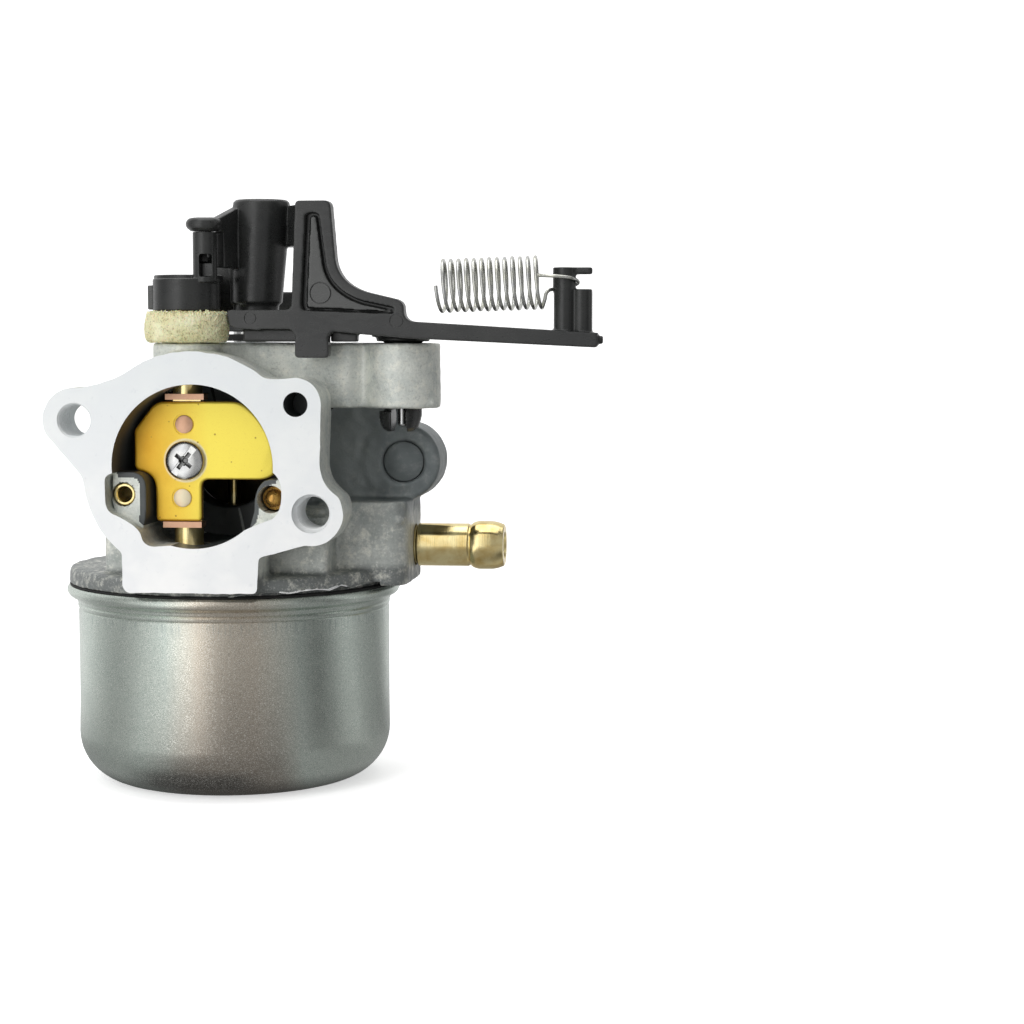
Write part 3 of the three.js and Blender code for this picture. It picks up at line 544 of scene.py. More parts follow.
def gold_zinc():
    """Yellow passivate, orange on the left and lemon on the right, with painted shade toward the edges and on
    the slopes of hollows, a pale worn ring round the screw, and dark freckles.
    """
    tree = Tree("gold_passivate")
    cloud = tree.noise(4.5, 4)
    grain = tree.noise(0.16, 4, 0.7)
    colour = tree.ramp(cloud, (0.3, (0.82, 0.42, 0.015)), (0.72, (0.95, 0.56, 0.04)))
    # Orange on the left to lemon on the right: partly the passivate's own tint, partly a painted highlight on
    # the right.
    colour = tree.mix(tree.span(tree.axis("X"), -8, 1, 0, 0.9), colour, (1.0, 0.85, 0.12))
    # Painted shade: a deeper orange towards the plate's rim.
    from_bore = tree.distance(tree.axis("X"), tree.minus(tree.axis("Z"), BORE_Z))
    colour = tree.mix(tree.span(from_bore, 10, 15, 0, 0.7), colour, (0.78, 0.42, 0.02))
    from_screw = tree.distance(tree.minus(tree.axis("X"), CHOKE_X), tree.minus(tree.axis("Z"), SCREW_Z))
    worn = tree.times(tree.span(from_screw, 3.3, 3.05), 0.7)
    colour = tree.mix(worn, colour, (0.95, 0.9, 0.7))
    # Painted shade: darker where the surface turns away from view, on the rounded edges and the ring grooves.
    facing = tree.add("LayerWeight", {"Blend": 0.35}, "Facing")
    colour = tree.mix(tree.span(facing, 0.1, 0.6, 0, 0.9), colour, (0.42, 0.15, 0.008))
    freckle = tree.ramp(tree.cells(1.9), (0.05, 0.8), (0.1, 0.0))
    colour = tree.mix(freckle, colour, (0.3, 0.13, 0.01))
    colour = tree.mix(tree.ramp(grain, (0.56, 0.0), (0.76, 0.35)), colour, (0.6, 0.34, 0.03))
    return tree.finish(colour, tree.span(grain, 0.3, 0.7, 0.28, 0.42),
                       tree.bump(grain, 0.03, 0.5), Metallic=0.4)


def bright_steel(name="bright_steel", tone=0.74, warmth=0.97):
    tree = Tree(name)
    cloud = tree.noise(1.6, 3)
    scratch = tree.noise(0.25, 2, vector=tree.stretched(1, 1, 0.3))
    dark = tuple(tone * share for share in (0.8, 0.81, 0.82))
    colour = tree.ramp(cloud, (0.3, dark), (0.7, (tone, tone, tone * warmth)))
    return tree.finish(colour, tree.span(scratch, 0.3, 0.7, 0.18, 0.3),
                       tree.bump(scratch, 0.003, 0.4), Metallic=1.0)


def black_plastic():
    tree = Tree("black_plastic")
    cloud = tree.noise(6, 4)
    scuff = tree.noise(0.7, 5, 0.65, vector=tree.stretched(0.35, 1, 1), distortion=0.5)
    grain = tree.noise(0.14, 3)
    colour = tree.ramp(cloud, (0.3, (0.014, 0.015, 0.015)), (0.7, (0.026, 0.027, 0.026)))
    # Painted light: the raised plateau and the faces just behind the bracket's front are painted a lighter
    # grey.
    behind = tree.minus(tree.axis("Y"), WALL_Y)
    painted_light = tree.times(tree.span(behind, 0.05, 0.25), tree.span(behind, 1, 0.7))
    painted_light = tree.times(painted_light, tree.span(tree.axis("X"), 34, 28))
    colour = tree.mix(tree.times(painted_light, 0.8), colour, (0.07, 0.072, 0.07))
    colour = tree.mix(tree.ramp(scuff, (0.64, 0.0), (0.78, 0.5)), colour, (0.08, 0.08, 0.078))
    height = tree.plus(tree.times(grain, 0.4), scuff)
    return tree.finish(colour, tree.span(scuff, 0.3, 0.75, 0.22, 0.42),
                       tree.bump(height, 0.025, 0.5), Specular_IOR_Level=0.6)


def black_rubber():
    tree = Tree("black_rubber")
    grain = tree.noise(0.4, 4)
    colour = tree.ramp(grain, (0.3, (0.006, 0.006, 0.006)), (0.7, (0.016, 0.016, 0.016)))
    return tree.finish(colour, tree.span(grain, 0.3, 0.7, 0.6, 0.8), tree.bump(grain, 0.05, 0.5))


def foam_material():
    """Cream open-cell foam with fine pores painted dark as shade, more of them in patches."""
    tree = Tree("open_cell_foam")
    pores = tree.noise(0.3, 3, 0.7)
    cloud = tree.noise(2.6, 3)
    colour = tree.ramp(cloud, (0.35, (0.74, 0.7, 0.4)), (0.65, (0.92, 0.89, 0.6)))
    # Painted shade: the pores are painted dark where the bump sinks in.
    depth = tree.plus(pores, tree.span(cloud, 0.3, 0.7, 0.08, -0.04))
    colour = tree.mix(tree.ramp(depth, (0.56, 0.0), (0.68, 0.8)), colour, (0.3, 0.26, 0.12))
    return tree.finish(colour, 0.95, tree.bump(tree.minus(1.0, pores), 0.35, 0.8),
                       Subsurface_Weight=0.15, Subsurface_Scale=MM)


def fibre():
    tree = Tree("pressed_fibre")
    strands = tree.noise(0.5, 5, vector=tree.stretched(1, 1, 4))
    colour = tree.ramp(strands, (0.3, (0.16, 0.06, 0.035)), (0.7, (0.32, 0.15, 0.09)))
    return tree.finish(colour, 0.85, tree.bump(strands, 0.08, 0.6))


CAST = cast_metal()
MACHINED = machined_metal()
BORED = bored_metal()
ZINC = zinc_steel()
BRASS = brass()
OLD_BRASS = brass("aged_brass", (0.72, 0.42, 0.12), (0.4, 0.2, 0.05), (0.2, 0.34))
COPPER = brass("copper_brass", (0.8, 0.5, 0.34), (0.55, 0.31, 0.2), (0.3, 0.5))
PALE_COPPER = brass("worn_copper", (1.0, 0.9, 0.66), (0.9, 0.68, 0.44), (0.4, 0.55))
GOLD = gold_zinc()
STEEL = bright_steel()
# Painted shade: a dark steel for the inside of the screw's cross recess.
RECESS_SHADE_STEEL = bright_steel("recess_shade_steel", 0.2)
SPRING_STEEL = bright_steel("spring_steel", 0.74, 0.88)
# Painted shade: a near-black brass for the throttle plate deep in the throat.
SHADED_BRASS = brass("shaded_brass", (0.16, 0.13, 0.08), (0.07, 0.06, 0.045), (0.4, 0.55))
PLASTIC = black_plastic()
RUBBER = black_rubber()
FOAM = foam_material()
FIBRE = fibre()


# ---------- die-cast body ----------
def air_flange_outline():
    points = outline((-9.8, -18.1), (9.2, -18.1), (9.5, -12.9), arc(EAR_X, -EAR_Z, 4.6, -1.75, 0.55, 20),
                     ((18.4, -2.4), (18.4, 0.5), 8), arc(14.9, 8.9, 3.8, 0, math.pi / 2, 16),
                     ((12, 12.2), (10.4, 12.7), 8), arc(0, 0, 16.4, 0.885, 2.19, 40),
                     ((-12, 11.9), (-16.2, 11.15), 8), arc(-EAR_X, EAR_Z, 4.65, 1.4, 3.55, 24),
                     (-16, -1.6), ((-15.6, -6.5), (-12.7, -10.2), 8), (-10.4, -12.4), (-10.4, -17.2))
    return lifted(points)


def thread_tool(x, z, y0, y1, minor, major, pitch):
    """A tapped hole's cutter: a rod with sharp ridges."""
    profile = [(0, y0), (minor, y0)]
    for i in range(int((y1 - y0) / pitch)):
        for share, radius in ((0.15, minor), (0.5, major), (0.85, minor)):
            profile.append((radius, y0 + (i + share) * pitch))
    profile += [(minor, y1), (0, y1)]
    return lathe(profile, "Y", x, z, 48)


def left_lobe():
    """The pocket in the air flange round the air jet."""
    return lifted(outline((-6.9, 0), (-10, -0.9), ((-12.8, -0.7), (-12.75, -2.2), 8),
                          (-12.7, -5), ((-12.6, -6.6), (-11.2, -7), 6), ((-7.7, -8.6), (-7.5, -10), 8),
                          ((-7.2, -11.4), (-5.6, -11.45), 6), (0, -11)))


def right_lobe():
    """The pocket round the ball plug."""
    return lifted(outline((4, 0), (11.5, -0.6), ((12.9, -1.6), (12.9, -3.5), 8),
                          ((13, -6.5), (11.4, -7.4), 6), ((8.6, -8.4), (7.4, -9.05), 6)))


def webs():
    """Grey metal left standing in both pockets, a little behind the flange's face."""
    front, back = -1.2, -2.4
    shoulder = bend((-9.6, -0.95), (-7.6, -1.1), (-7.5, -3.2))
    left = outline((-12.4, -1.35), ((-12.4, -0.95), (-11.9, -0.95), 4), shoulder, (-7.5, -6.5),
                   ((-7.6, -8), (-8.1, -9.4), 6), (-12, -7.2), (-12.5, -5.2))
    right = outline((12.7, -5.4), (11.2, -7.4), (7.3, -9.7), (8.2, -6.5), ((8.1, -3.2), (9.8, -2.1), 8),
                    ((12.8, -1.3), (12.7, -3.6), 8))
    web_left = prism(lifted(left[::-1]), "Y", AIR_JET[2] + front, back)
    web_right = prism(lifted(right), "Y", PLUG_JET[2] + front, back)
    return [soften(web, 0.16, 4) for web in (web_left, web_right)]


def ring_of(sections, start, end):
    """A solid with the given (radius, height) sections, spread between two angles about the bowl's axis."""
    bm = bmesh.new()
    rows = []
    for i, section in enumerate(sections):
        turn = start + (end - start) * i / (len(sections) - 1)
        x, y = math.cos(turn), math.sin(turn)
        rows.append([bm.verts.new((r * x, BOWL_Y + r * y, z)) for r, z in section])
    for low, high in zip(rows, rows[1:]):
        for k in range(4):
            bm.faces.new((low[k], low[(k + 1) % 4], high[(k + 1) % 4], high[k]))
    bm.faces.new(rows[0])
    bm.faces.new(rows[-1])
    return make_object("ring", bm)


def flash(start, end, seed):
    """The cover's ragged lower edge: a cutter for the metal that never filled, and the burr along it."""
    draw = np.random.default_rng(seed)
    steps = 200
    at = np.arange(steps + 1)
    knots = np.linspace(0, steps, 15)
    gap = np.interp(at, knots, draw.uniform(0.25, 1.15, len(knots))) * np.linspace(0.6, 1.3, steps + 1)
    gap = gap * np.minimum(1, np.minimum(at, steps - at) / 14) + draw.uniform(-0.03, 0.03, steps + 1)
    reach = np.interp(at, np.linspace(0, steps, 40), draw.uniform(0.1, 0.45, 40))
    tops = SEAM_HIGH + np.maximum(gap, 0.02)
    inside, outside, root = COVER_R - 1.1, COVER_R + 1, COVER_R - 0.8
    cutter = ring_of([[(inside, 30), (outside, 30), (outside, z), (inside, z)] for z in tops], start, end)
    burr = ring_of([[(root, z - 0.02), (COVER_R + r, z - 0.02), (COVER_R + r, z + 0.1), (root, z + 0.4)]
                    for z, r in zip(tops, reach)], start, end)
    return cutter, burr


def cast_body():
    proud = 0.6  # for the tools to face off
    flange = prism(air_flange_outline(), "Y", FRONT_Y - proud, FRONT_Y + FLANGE_T)
    barrel = rod("Y", *BORE, FRONT_Y + 2, REAR_Y - 1, 14, sides=128)
    rear, rear_ear = [prism(lifted(tapered(side * EAR_X, -side * EAR_Z, 5, 0, 0, 13.2)), "Y",
                            REAR_Y - REAR_T, REAR_Y + proud) for side in (-1, 1)]
    cover = lathe([(0, SEAM_HIGH), (COVER_R, SEAM_HIGH), (COVER_R, 32.2), (24.6, 32.9), (0, 33.5)],
                  "Z", *BOWL, 160)
    housing = block(*HOUSING_X, *HOUSING_Y, 32, 41.5)
    pillar = rod("Z", *BOWL, FLOOR_Z + BOWL_T + 0.25, COVER_Z + 1, 4.5)
    neck = rod("Z", *CHOKE, BORE_Z, TOP_Z, 4.9)
    choke_foot = rod("Z", *CHOKE, 33, BORE_Z - 10, 5)
    throttle_neck = rod("Z", *THROTTLE, BORE_Z, TOP_Z, 5.2)
    throttle_foot = rod("Z", *THROTTLE, 33, BORE_Z - 8, 5.2)
    top_outline = [(-7, -15), (2, -15), (5.5, -12.4), (7, -11.9), (20.5, -11.9), (22.4, -10.8),
                   (24.2, -11.6), (31, -12.6), (33.2, -9), (31, -3.8), (23, 0.5), (8, 9), (4, 17),
                   (-4, 17), (-7, 8)]
    top_block = prism(top_outline, "Z", BLOCK_Z, TOP_Z)
    pivot_boss = rod("Z", *PIVOT, BLOCK_Z, TOP_Z, 5.5)
    pip = ball(PIVOT_X + 4.6, PIVOT_Y - 2.9, BLOCK_Z + 0.9, 0.6)
    web = block(10, BOSS_X, BOSS_Y + 0.1, 7, 42, BLOCK_Z + 1)
    round_boss = rod("Y", BOSS_X, BOSS_Z, BOSS_Y, 8, BOSS_R, sides=96)
    corner, side, inlet_front = 2.6, INLET_X - 0.35, -7.5
    inlet_corner = arc(side - corner, inlet_front + corner, corner, -math.pi / 2, 0, 8)
    inlet_outline = [(15, inlet_front)] + inlet_corner + [(side, 8), (15, 8)]
    inlet_block = prism(inlet_outline, "Z", SEAM_HIGH + 0.1, 43.2)
    gate = ball(INLET_X - 1.5, -7.1, 40.4, 0.75)
    passage_block = block(4, 16.8, -13, 4, 33.5, 42.5)
    posts = [block(17.6, 21.1, BOWL_Y + y, BOWL_Y + y + 2, 26.3, COVER_Z + 0.5) for y in (-6, 4)]
    outside = join(flange, barrel, rear, rear_ear, cover, housing, pillar, neck, choke_foot, throttle_neck,
                   throttle_foot, top_block, pivot_boss, pip, web, round_boss, inlet_block, gate,
                   passage_block, *posts)
    recess = rod("Y", PLUG_X, BOSS_Z, BOSS_Y - 1, 3, 3.12)
    soften(cut(outside, recess), 0.28, 9)
    ripple(outside, 0.035, 2.2, 11)
    ragged, burr = flash(-1.38, -0.16, 3)
    join(cut(outside, ragged), burr)

    # The tools then face and bore the casting, which leaves these edges sharp.
    front_face = block(-40, 60, FRONT_Y - 3, FRONT_Y, 20, 80)
    rear_face = block(-40, 60, REAR_Y, REAR_Y + 3, 20, 80)
    chamber = rod("Y", *BORE, FRONT_Y - 1, -2, CHAMBER_R, sides=160)
    throat = lathe([(0, -2.1), (7.9, -2.1), (7.5, -1.9), (7.25, -1.3), (7.3, 3), (8.2, 6), (THROAT_R, 8),
                    (THROAT_R, REAR_Y + 1), (0, REAR_Y + 1)], "Y", *BORE, 160)
    lobes = [prism(left_lobe(), "Y", FRONT_Y - 1, -2.5), prism(right_lobe(), "Y", FRONT_Y - 1, -2.5)]
    ears = [(side * EAR_X, BORE_Z - side * EAR_Z) for side in (-1, 1)]
    tapped = [thread_tool(*ear, FRONT_Y - 0.3, FRONT_Y + FLANGE_T + 1, 2.32, 2.62, 0.8) for ear in ears]
    sink = lathe([(0, FRONT_Y - 0.2), (2.78, FRONT_Y - 0.2), (2.78, FRONT_Y + 0.9), (2.3, FRONT_Y + 1.6),
                  (0, FRONT_Y + 1.6)], "Y", *ears[1], 64)
    stud_holes = [rod("Y", *ear, REAR_Y - REAR_T - 1, REAR_Y + 1, 3.2) for ear in ears]
    vent = rod("Y", VENT_X, VENT_Z, FRONT_Y - 1, -17, VENT_R)
    holes = [rod("X", *INLET, 19, INLET_X + 1, 3.2),
             rod("X", *INLET, NEEDLE_X - 1, 19.5, 1.2),
             rod("Z", NEEDLE_X, BOWL_Y, 28, 37.1, 3.1),
             rod("Z", *BOWL, 4, 19, 3.2),
             rod("Z", *BOWL, 18, BORE_Z - 5, 1.25),
             rod("Z", *PIVOT, BLOCK_Z - 1, TOP_Z + 1, 3.1),
             rod("Y", 19.5, 28.3, BOWL_Y - 7, BOWL_Y + 7, 1.1)]
    cut(outside, front_face, rear_face, chamber, throat, *lobes, *tapped, sink, *stud_holes, vent, *holes)
    join(outside, *webs())
    return cut(outside, rod("Y", AIR_JET[0], AIR_JET[1], FRONT_Y - 1, -11, 1.75),
               rod("Y", PLUG_JET[0], PLUG_JET[1], FRONT_Y - 1, -14, 2),
               rod("Z", *CHOKE, 34, TOP_Z + 1, CHOKE_R + 0.3),
               rod("Z", *THROTTLE, 36.5, TOP_Z + 1, THROTTLE_R + 0.3))


def give_machined_faces(obj):
    """The machined planes and the tapped ears are bright; the burr's crest is bright as a painted highlight,
    and the bores are dark as painted shade.
    """
    bright, dark = 1, 2
    mesh = obj.data
    centres = vectors(mesh.polygons, "center")
    normals = vectors(mesh.polygons, "normal")
    x, y, z = centres.T
    facing_x, facing_y, facing_z = normals.T
    near = 0.06
    front = (abs(y - FRONT_Y) < near) & (facing_y < -0.99)
    rear = (abs(y - REAR_Y) < near) & (facing_y > 0.99)
    inward = x * facing_x + (z - BORE_Z) * facing_z < 0
    index = np.zeros(len(mesh.polygons), dtype=np.int32)
    # Painted shade: the chamber's wall takes the near-black bored metal.
    index[(np.hypot(x, z - BORE_Z) < CHAMBER_R + 0.05) & inward] = dark
    for side in (-1, 1):
        from_ear = np.hypot(x - side * EAR_X, z - BORE_Z + side * EAR_Z)
        index[(from_ear < 2.8) & (y < FRONT_Y + FLANGE_T)] = bright
    # Painted shade in the vent hole too.
    index[np.hypot(x - VENT_X, z - VENT_Z) < VENT_R + 0.05] = dark
    from_bowl = np.hypot(x, y - BOWL_Y)
    outward = (x * facing_x + (y - BOWL_Y) * facing_y) / from_bowl
    # Painted highlight: the front part of the burr's crest takes the bright machined face.
    burr = (from_bowl > COVER_R + near) & (from_bowl < COVER_R + 0.5) & (abs(z - 31.4) < 1.2)
    burr &= (outward > 0.8) | (abs(facing_z) > 0.8)
    burr &= (abs(x - 16) < 4.3) & (y < -1)
    index[front | rear | burr] = bright
    mesh.polygons.foreach_set("material_index", index)


body = cast_body()
give(body, CAST, MACHINED, BORED)
give_machined_faces(body)
place(body, "casting", "root", None, "carburetor_body", slot="die_cast")
cup = [(0, BOSS_Y + 0.32), (2.8, BOSS_Y + 0.36), (3.0, BOSS_Y + 0.46), (3.1, BOSS_Y + 0.8),
       (3.1, 2.8), (0, 2.8)]
place(lathe(cup, "Y", PLUG_X, BOSS_Z, 80), "boss_cup_plug", "root", CAST, "boss_plug", slot="die_cast")


# ---------- bowl, gasket and bolt ----------
def bowl():
    corner = 7.6
    inner = FLOOR_Z + BOWL_T
    flat_r = BOWL_R - corner
    outer_bend = arc(flat_r, corner, corner, -math.pi / 2, 0, 14)
    inner_bend = arc(flat_r, corner, corner - BOWL_T, 0, -math.pi / 2, 14)
    foot = outline((3.3, FLOOR_Z), (9.4, FLOOR_Z), ((11, FLOOR_Z), (11.5, 3.4), 6),
                   (12.2, 1.2), ((12.6, 0), (13.9, 0), 6))
    grooves = [(BOWL_R, 26.25), (BOWL_R - 0.16, 26.5), (BOWL_R + 0.05, 26.75), (BOWL_R + 0.12, 27.1),
               (BOWL_R - 0.02, 27.35)]
    flare = outline((BOWL_R + 0.2, 27.6), ((BOWL_R + 0.3, 28.1), (24.6, 28.3), 6),
                    ((25.35, 28.55), (RIM_R, 29.2), 6))
    lip = [(RIM_R, 29.5), (RIM_R - 0.12, 29.85), (RIM_R - 0.45, SEAM_LOW), (RIM_R - 1.4, SEAM_LOW),
           (RIM_R - 1.7, 29.6), (RIM_R - 1.9, 29)]
    wall = [(BOWL_R - BOWL_T, 27.4)]
    inside = [(13.9, BOWL_T), (13, 1.4), (12.2, 4.2), (11.4, inner - 0.4), (10, inner), (3.3, inner)]
    profile = foot + outer_bend + [(BOWL_R, 13)] + grooves + flare + lip + wall + inner_bend + inside
    return lathe(profile, "Z", *BOWL, 192)


def dress_bowl(obj):
    """A wall that is very slightly out of round."""
    for vertex in obj.data.vertices:
        x, y, z = vertex.co.x, vertex.co.y - BOWL_Y, vertex.co.z
        radius = math.hypot(x, y)
        if radius < BOWL_R - 2 or not 8 < z < 29:
            continue
        turn = math.atan2(y, x)
        step = 0.04 * math.sin(3 * turn + 0.4) + 0.025 * math.sin(11 * turn + z * 0.3)
        step -= 0.07  # so that no bulge leaves the CAD wall
        vertex.co.x += x / radius * step
        vertex.co.y += y / radius * step


steel_bowl = bowl()
dress_bowl(steel_bowl)
place(steel_bowl, "steel_bowl", "root", ZINC, "float_bowl", slot="zinc_steel")
gasket = lathe([(23.7, SEAM_LOW), (24.85, SEAM_LOW), (25.0, SEAM_LOW + 0.15), (25.0, SEAM_HIGH - 0.15),
                (24.85, SEAM_HIGH), (23.7, SEAM_HIGH)], "Z", *BOWL, 160)
place(gasket, "rubber_bowl_gasket", "root", RUBBER, "bowl_gasket", slot="black_rubber")


def bowl_bolt():
    head = rod("Z", *BOWL, 0.5, 4, 5.2, sides=6)
    dome = lathe([(0, 0.5), (4.1, 0.5), (5.3, 1.2), (5.3, 4.05), (0, 4.05)], "Z", *BOWL, 64)
    head = combine(head, [dome], "INTERSECT")
    profile = [(0, 3.5), (2.45, 3.5)]
    for i in range(10):
        start = 4 + i
        profile += [(2.45, start + 0.1), (2.8, start + 0.5), (2.45, start + 0.9)]
    profile += [(2.3, 14), (0, 14)]
    return join(head, lathe(profile, "Z", *BOWL, 48))


place(bevel(bowl_bolt(), 0.12), "bowl_bolt_hex", "root", ZINC, "bowl_bolt", slot="zinc_steel")
washer = lathe([(3.1, 4.25), (5.5, 4.25), (5.6, 4.35), (5.6, 4.75), (5.5, 4.85), (3.1, 4.85)],
               "Z", *BOWL, 64)
place(washer, "bowl_bolt_fibre_washer", "root", FIBRE, "bowl_bolt_washer", slot="fibre")


# ---------- brass fittings ----------
def barb():
    end = 41.8
    profile = outline(
        (1.75, 20), (2.9, 20), (2.9, INLET_X - 0.1), (3.1, INLET_X), (3.27, INLET_X + 0.2),
        (3.27, end - 5.5), (3.12, end - 5.3), (3.12, end - 5.15), (3.35, end - 4.9),
        ((3.68, end - 4.4), (3.7, end - 3.6), 6), (3.68, end - 1.9), ((3.6, end - 1.1), (3.35, end - 0.5), 6),
        (3.2, end - 0.12), (3.0, end), (2.1, end), (1.8, end - 0.3), (1.75, end - 0.7))
    return lathe(profile, "X", *INLET, 96)


place(barb(), "brass_hose_barb", "root", BRASS, "fuel_inlet_barb", slot="brass", crease=28)
jet_x, jet_z, jet_y = AIR_JET
air_jet = lathe([(1.05, -12), (1.6, -12), (1.6, jet_y - 0.55), (1.45, jet_y - 0.7), (1.2, jet_y - 0.7),
                 (1.05, jet_y - 0.5)], "Y", jet_x, jet_z, 48)
place(air_jet, "brass_air_jet", "root", BRASS, "air_jet", slot="brass")
jet_x, jet_z, jet_y = PLUG_JET
ball_end = ((1.15, jet_y + 0.15), (1.25, jet_y + 1.1), 8)
ball_plug = lathe(outline((0, jet_y - 0.15), (0.4, jet_y - 0.1), ball_end, (1.3, jet_y + 1.6),
                          (1.7, jet_y + 1.7), (1.7, -14.5), (0, -14.5)), "Y", jet_x, jet_z, 48)
place(ball_plug, "brass_passage_plug", "root", OLD_BRASS, "passage_plug", slot="brass")
nozzle = lathe([(0.5, 18.6), (0.95, 18.6), (0.95, BORE_Z - 2.4), (0.8, BORE_Z - 2.25), (0.6, BORE_Z - 2.25),
                (0.5, BORE_Z - 2.4)], "Z", *BOWL, 32)
place(nozzle, "brass_main_nozzle", "root", BRASS, "main_nozzle", slot="brass")


# ---------- choke ----------
def choke_plate_outline():
    points = outline(
        (-6.3, -8.3), (-0.9, -8.3), ((-0.2, -8.3), (-0.2, -7.6), 8),
        (-0.2, -3.2), ((-0.1, -2.2), (1, -2.2), 8), (8.2, -2.2), ((9.8, -2.1), (10.45, -1.4), 8),
        arc(0, 0, 10.6, -0.12, 0.93, 32), ((5.4, 9.1), (4.2, 9.1), 8), (-6, 9.1), ((-7, 8.9), (-7.6, 8.2), 8),
        (-9.9, 5.2), ((-10.1, 4.9), (-10.1, 4.4), 8), (-10.1, -0.2), ((-10, -0.9), (-9.3, -1), 8),
        ((-6.9, -1.4), (-7, -4), 8), (-7, -7.6), ((-7, -8.3), (-6.3, -8.3), 8))
    return lifted(points[:-1])


def fixing_holes(y0, y1):
    places = (*zip(RIVET_X, RIVET_Z), SCREW)
    return [rod("Y", x, z, y0, y1, 1.25, sides=32) for x, z in places]


def ring_tool(x, z, inner, outer, y0, y1):
    """A round groove's cutter."""
    return lathe([(inner, y0), (outer, y0), (outer, y1), (inner, y1)], "Y", x, z, 64)


plate = rounded_plate(choke_plate_outline(), PLATE_Y, PLATE_Y + PLATE_T, 0.42)
rings = [ring_tool(x, z, 1.36, 1.56, PLATE_Y - 0.2, PLATE_Y + 0.12) for x, z in zip(RIVET_X, RIVET_Z)]
cut(plate, *rings, *fixing_holes(PLATE_Y - 1, CHOKE_Y))
place(plate, "gold_choke_plate", "choke", GOLD, "choke_plate", slot="gold_zinc")


def choke_shaft():
    tab_low, tab_top = 40.0, 59.4
    flat_y = PLATE_Y + PLATE_T + 0.25
    waist = 2.15
    shaft = lathe([(0, 34.4), (CHOKE_R, 34.4), (CHOKE_R, 37.2), (waist, 37.4), (waist, 61.2), (CHOKE_R, 61.4),
                   (CHOKE_R, 75.2), (0, 75.2)], "Z", *CHOKE, 80)
    cut(shaft, block(CHOKE_X - 4, CHOKE_X + 4, CHOKE_Y - 4, flat_y, tab_low, tab_top))
    tabs = [block(x - 2.85, x + 2.85, PLATE_Y - 0.3, CHOKE_Y + 0.5, z, z + 0.85)
            for x, z in ((CHOKE_X - 0.5, tab_low), (CHOKE_X, tab_top - 0.85))]
    join(shaft, *tabs)
    return cut(shaft, *fixing_holes(CHOKE_Y - 4, CHOKE_Y + 1.2))


shaft = bevel(choke_shaft(), 0.08)
give(shaft, BRASS, COPPER)
for face in shaft.data.polygons:
    face.material_index = int(39.8 < face.center.z < 41 or 58.4 < face.center.z < 59.6)
place(shaft, "brass_choke_shaft", "choke", None, "choke_shaft", slot="copper_shaft")


SCREW_TOP = PLATE_Y - 1.35


def choke_screw():
    """A pan head with a cross and a slot in it."""
    top = SCREW_TOP
    head = lathe(outline((0, top), (1.5, top + 0.04), ((2.7, top + 0.2), (2.85, top + 0.75), 6),
                         (2.85, PLATE_Y - 0.3), (2.75, PLATE_Y - 0.22), (1, PLATE_Y - 0.22),
                         (1, CHOKE_Y + 0.9), (0, CHOKE_Y + 0.9)), "Y", *SCREW, 72)
    tools = []
    slot_turn = -math.radians(52)
    for reach, depth, half, turn in ((1.45, 1.0, 0.3, slot_turn), (1.45, 1.0, 0.3, slot_turn + math.pi / 2),
                                     (3.2, 0.3, 0.5, slot_turn)):
        tool = block(-reach, reach, top - 1, top + depth, -half, half)
        tool.data.transform(Matrix.Translation((CHOKE_X, 0, SCREW_Z)) @ Matrix.Rotation(turn, 4, "Y"))
        tools.append(tool)
    socket = lathe([(0, top - 1), (0.8, top - 1), (0.7, top + 0.4), (0.3, top + 1.25), (0, top + 1.25)], "Y",
                   *SCREW, 24)
    return cut(head, *tools, socket)


screw = choke_screw()
give(screw, STEEL, RECESS_SHADE_STEEL)
# Painted shade: faces deep in the cross recess take the dark steel.
for face in screw.data.polygons:
    near = math.hypot(face.center.x - CHOKE_X, face.center.z - SCREW_Z) < 1.6
    face.material_index = int(near and face.center.y > SCREW_TOP + 0.32)
place(screw, "choke_plate_screw", "choke", None, "choke_screw", slot="steel", crease=25)
for number, x, z, copper in zip((1, 2), RIVET_X, RIVET_Z, (COPPER, PALE_COPPER)):
    front = PLATE_Y - 0.16
    rivet = lathe([(0, front), (1.2, front), (1.3, front + 0.05), (1.32, front + 0.12), (0.95, front + 0.14),
                   (0.95, CHOKE_Y + 0.9), (0, CHOKE_Y + 0.9)], "Y", x, z, 48)
    place(rivet, f"copper_rivet_{number}", "choke", copper, f"choke_rivet_{number}", slot="copper_shaft")


def choke_lever():
    cap_z, cap_top = 71.35, 75.95
    x, y, r, top = 0.85, -18.4, 1.72, 82.62
    cap = rod("Z", *CHOKE, cap_z, cap_top, 4.85, sides=96)
    disc = rod("Z", CHOKE_X - 0.3, CHOKE_Y + 2.4, cap_top - 0.5, cap_top + 0.6, 5.0, sides=96)
    blade = block(CHOKE_X - 5.7, CHOKE_X - 3, CHOKE_Y - 0.4, CHOKE_Y + 3.4, cap_z + 0.2, cap_top - 0.9)
    post = rod("Z", x, y, cap_top - 0.5, top, r)
    lever = join(cap, disc, blade, post)
    cut(lever, rod("Z", x, y, 78.2, top + 1, 1.5), block(x - 0.45, x + 1.25, y - 3, y, 76.2, 79.4),
        rod("Z", *CHOKE, cap_z - 1, 75.4, CHOKE_R + 0.25))
    return soften(lever, 0.12, 6)


place(choke_lever(), "choke_lever_cap", "choke", PLASTIC, "choke_lever", slot="black_plastic")


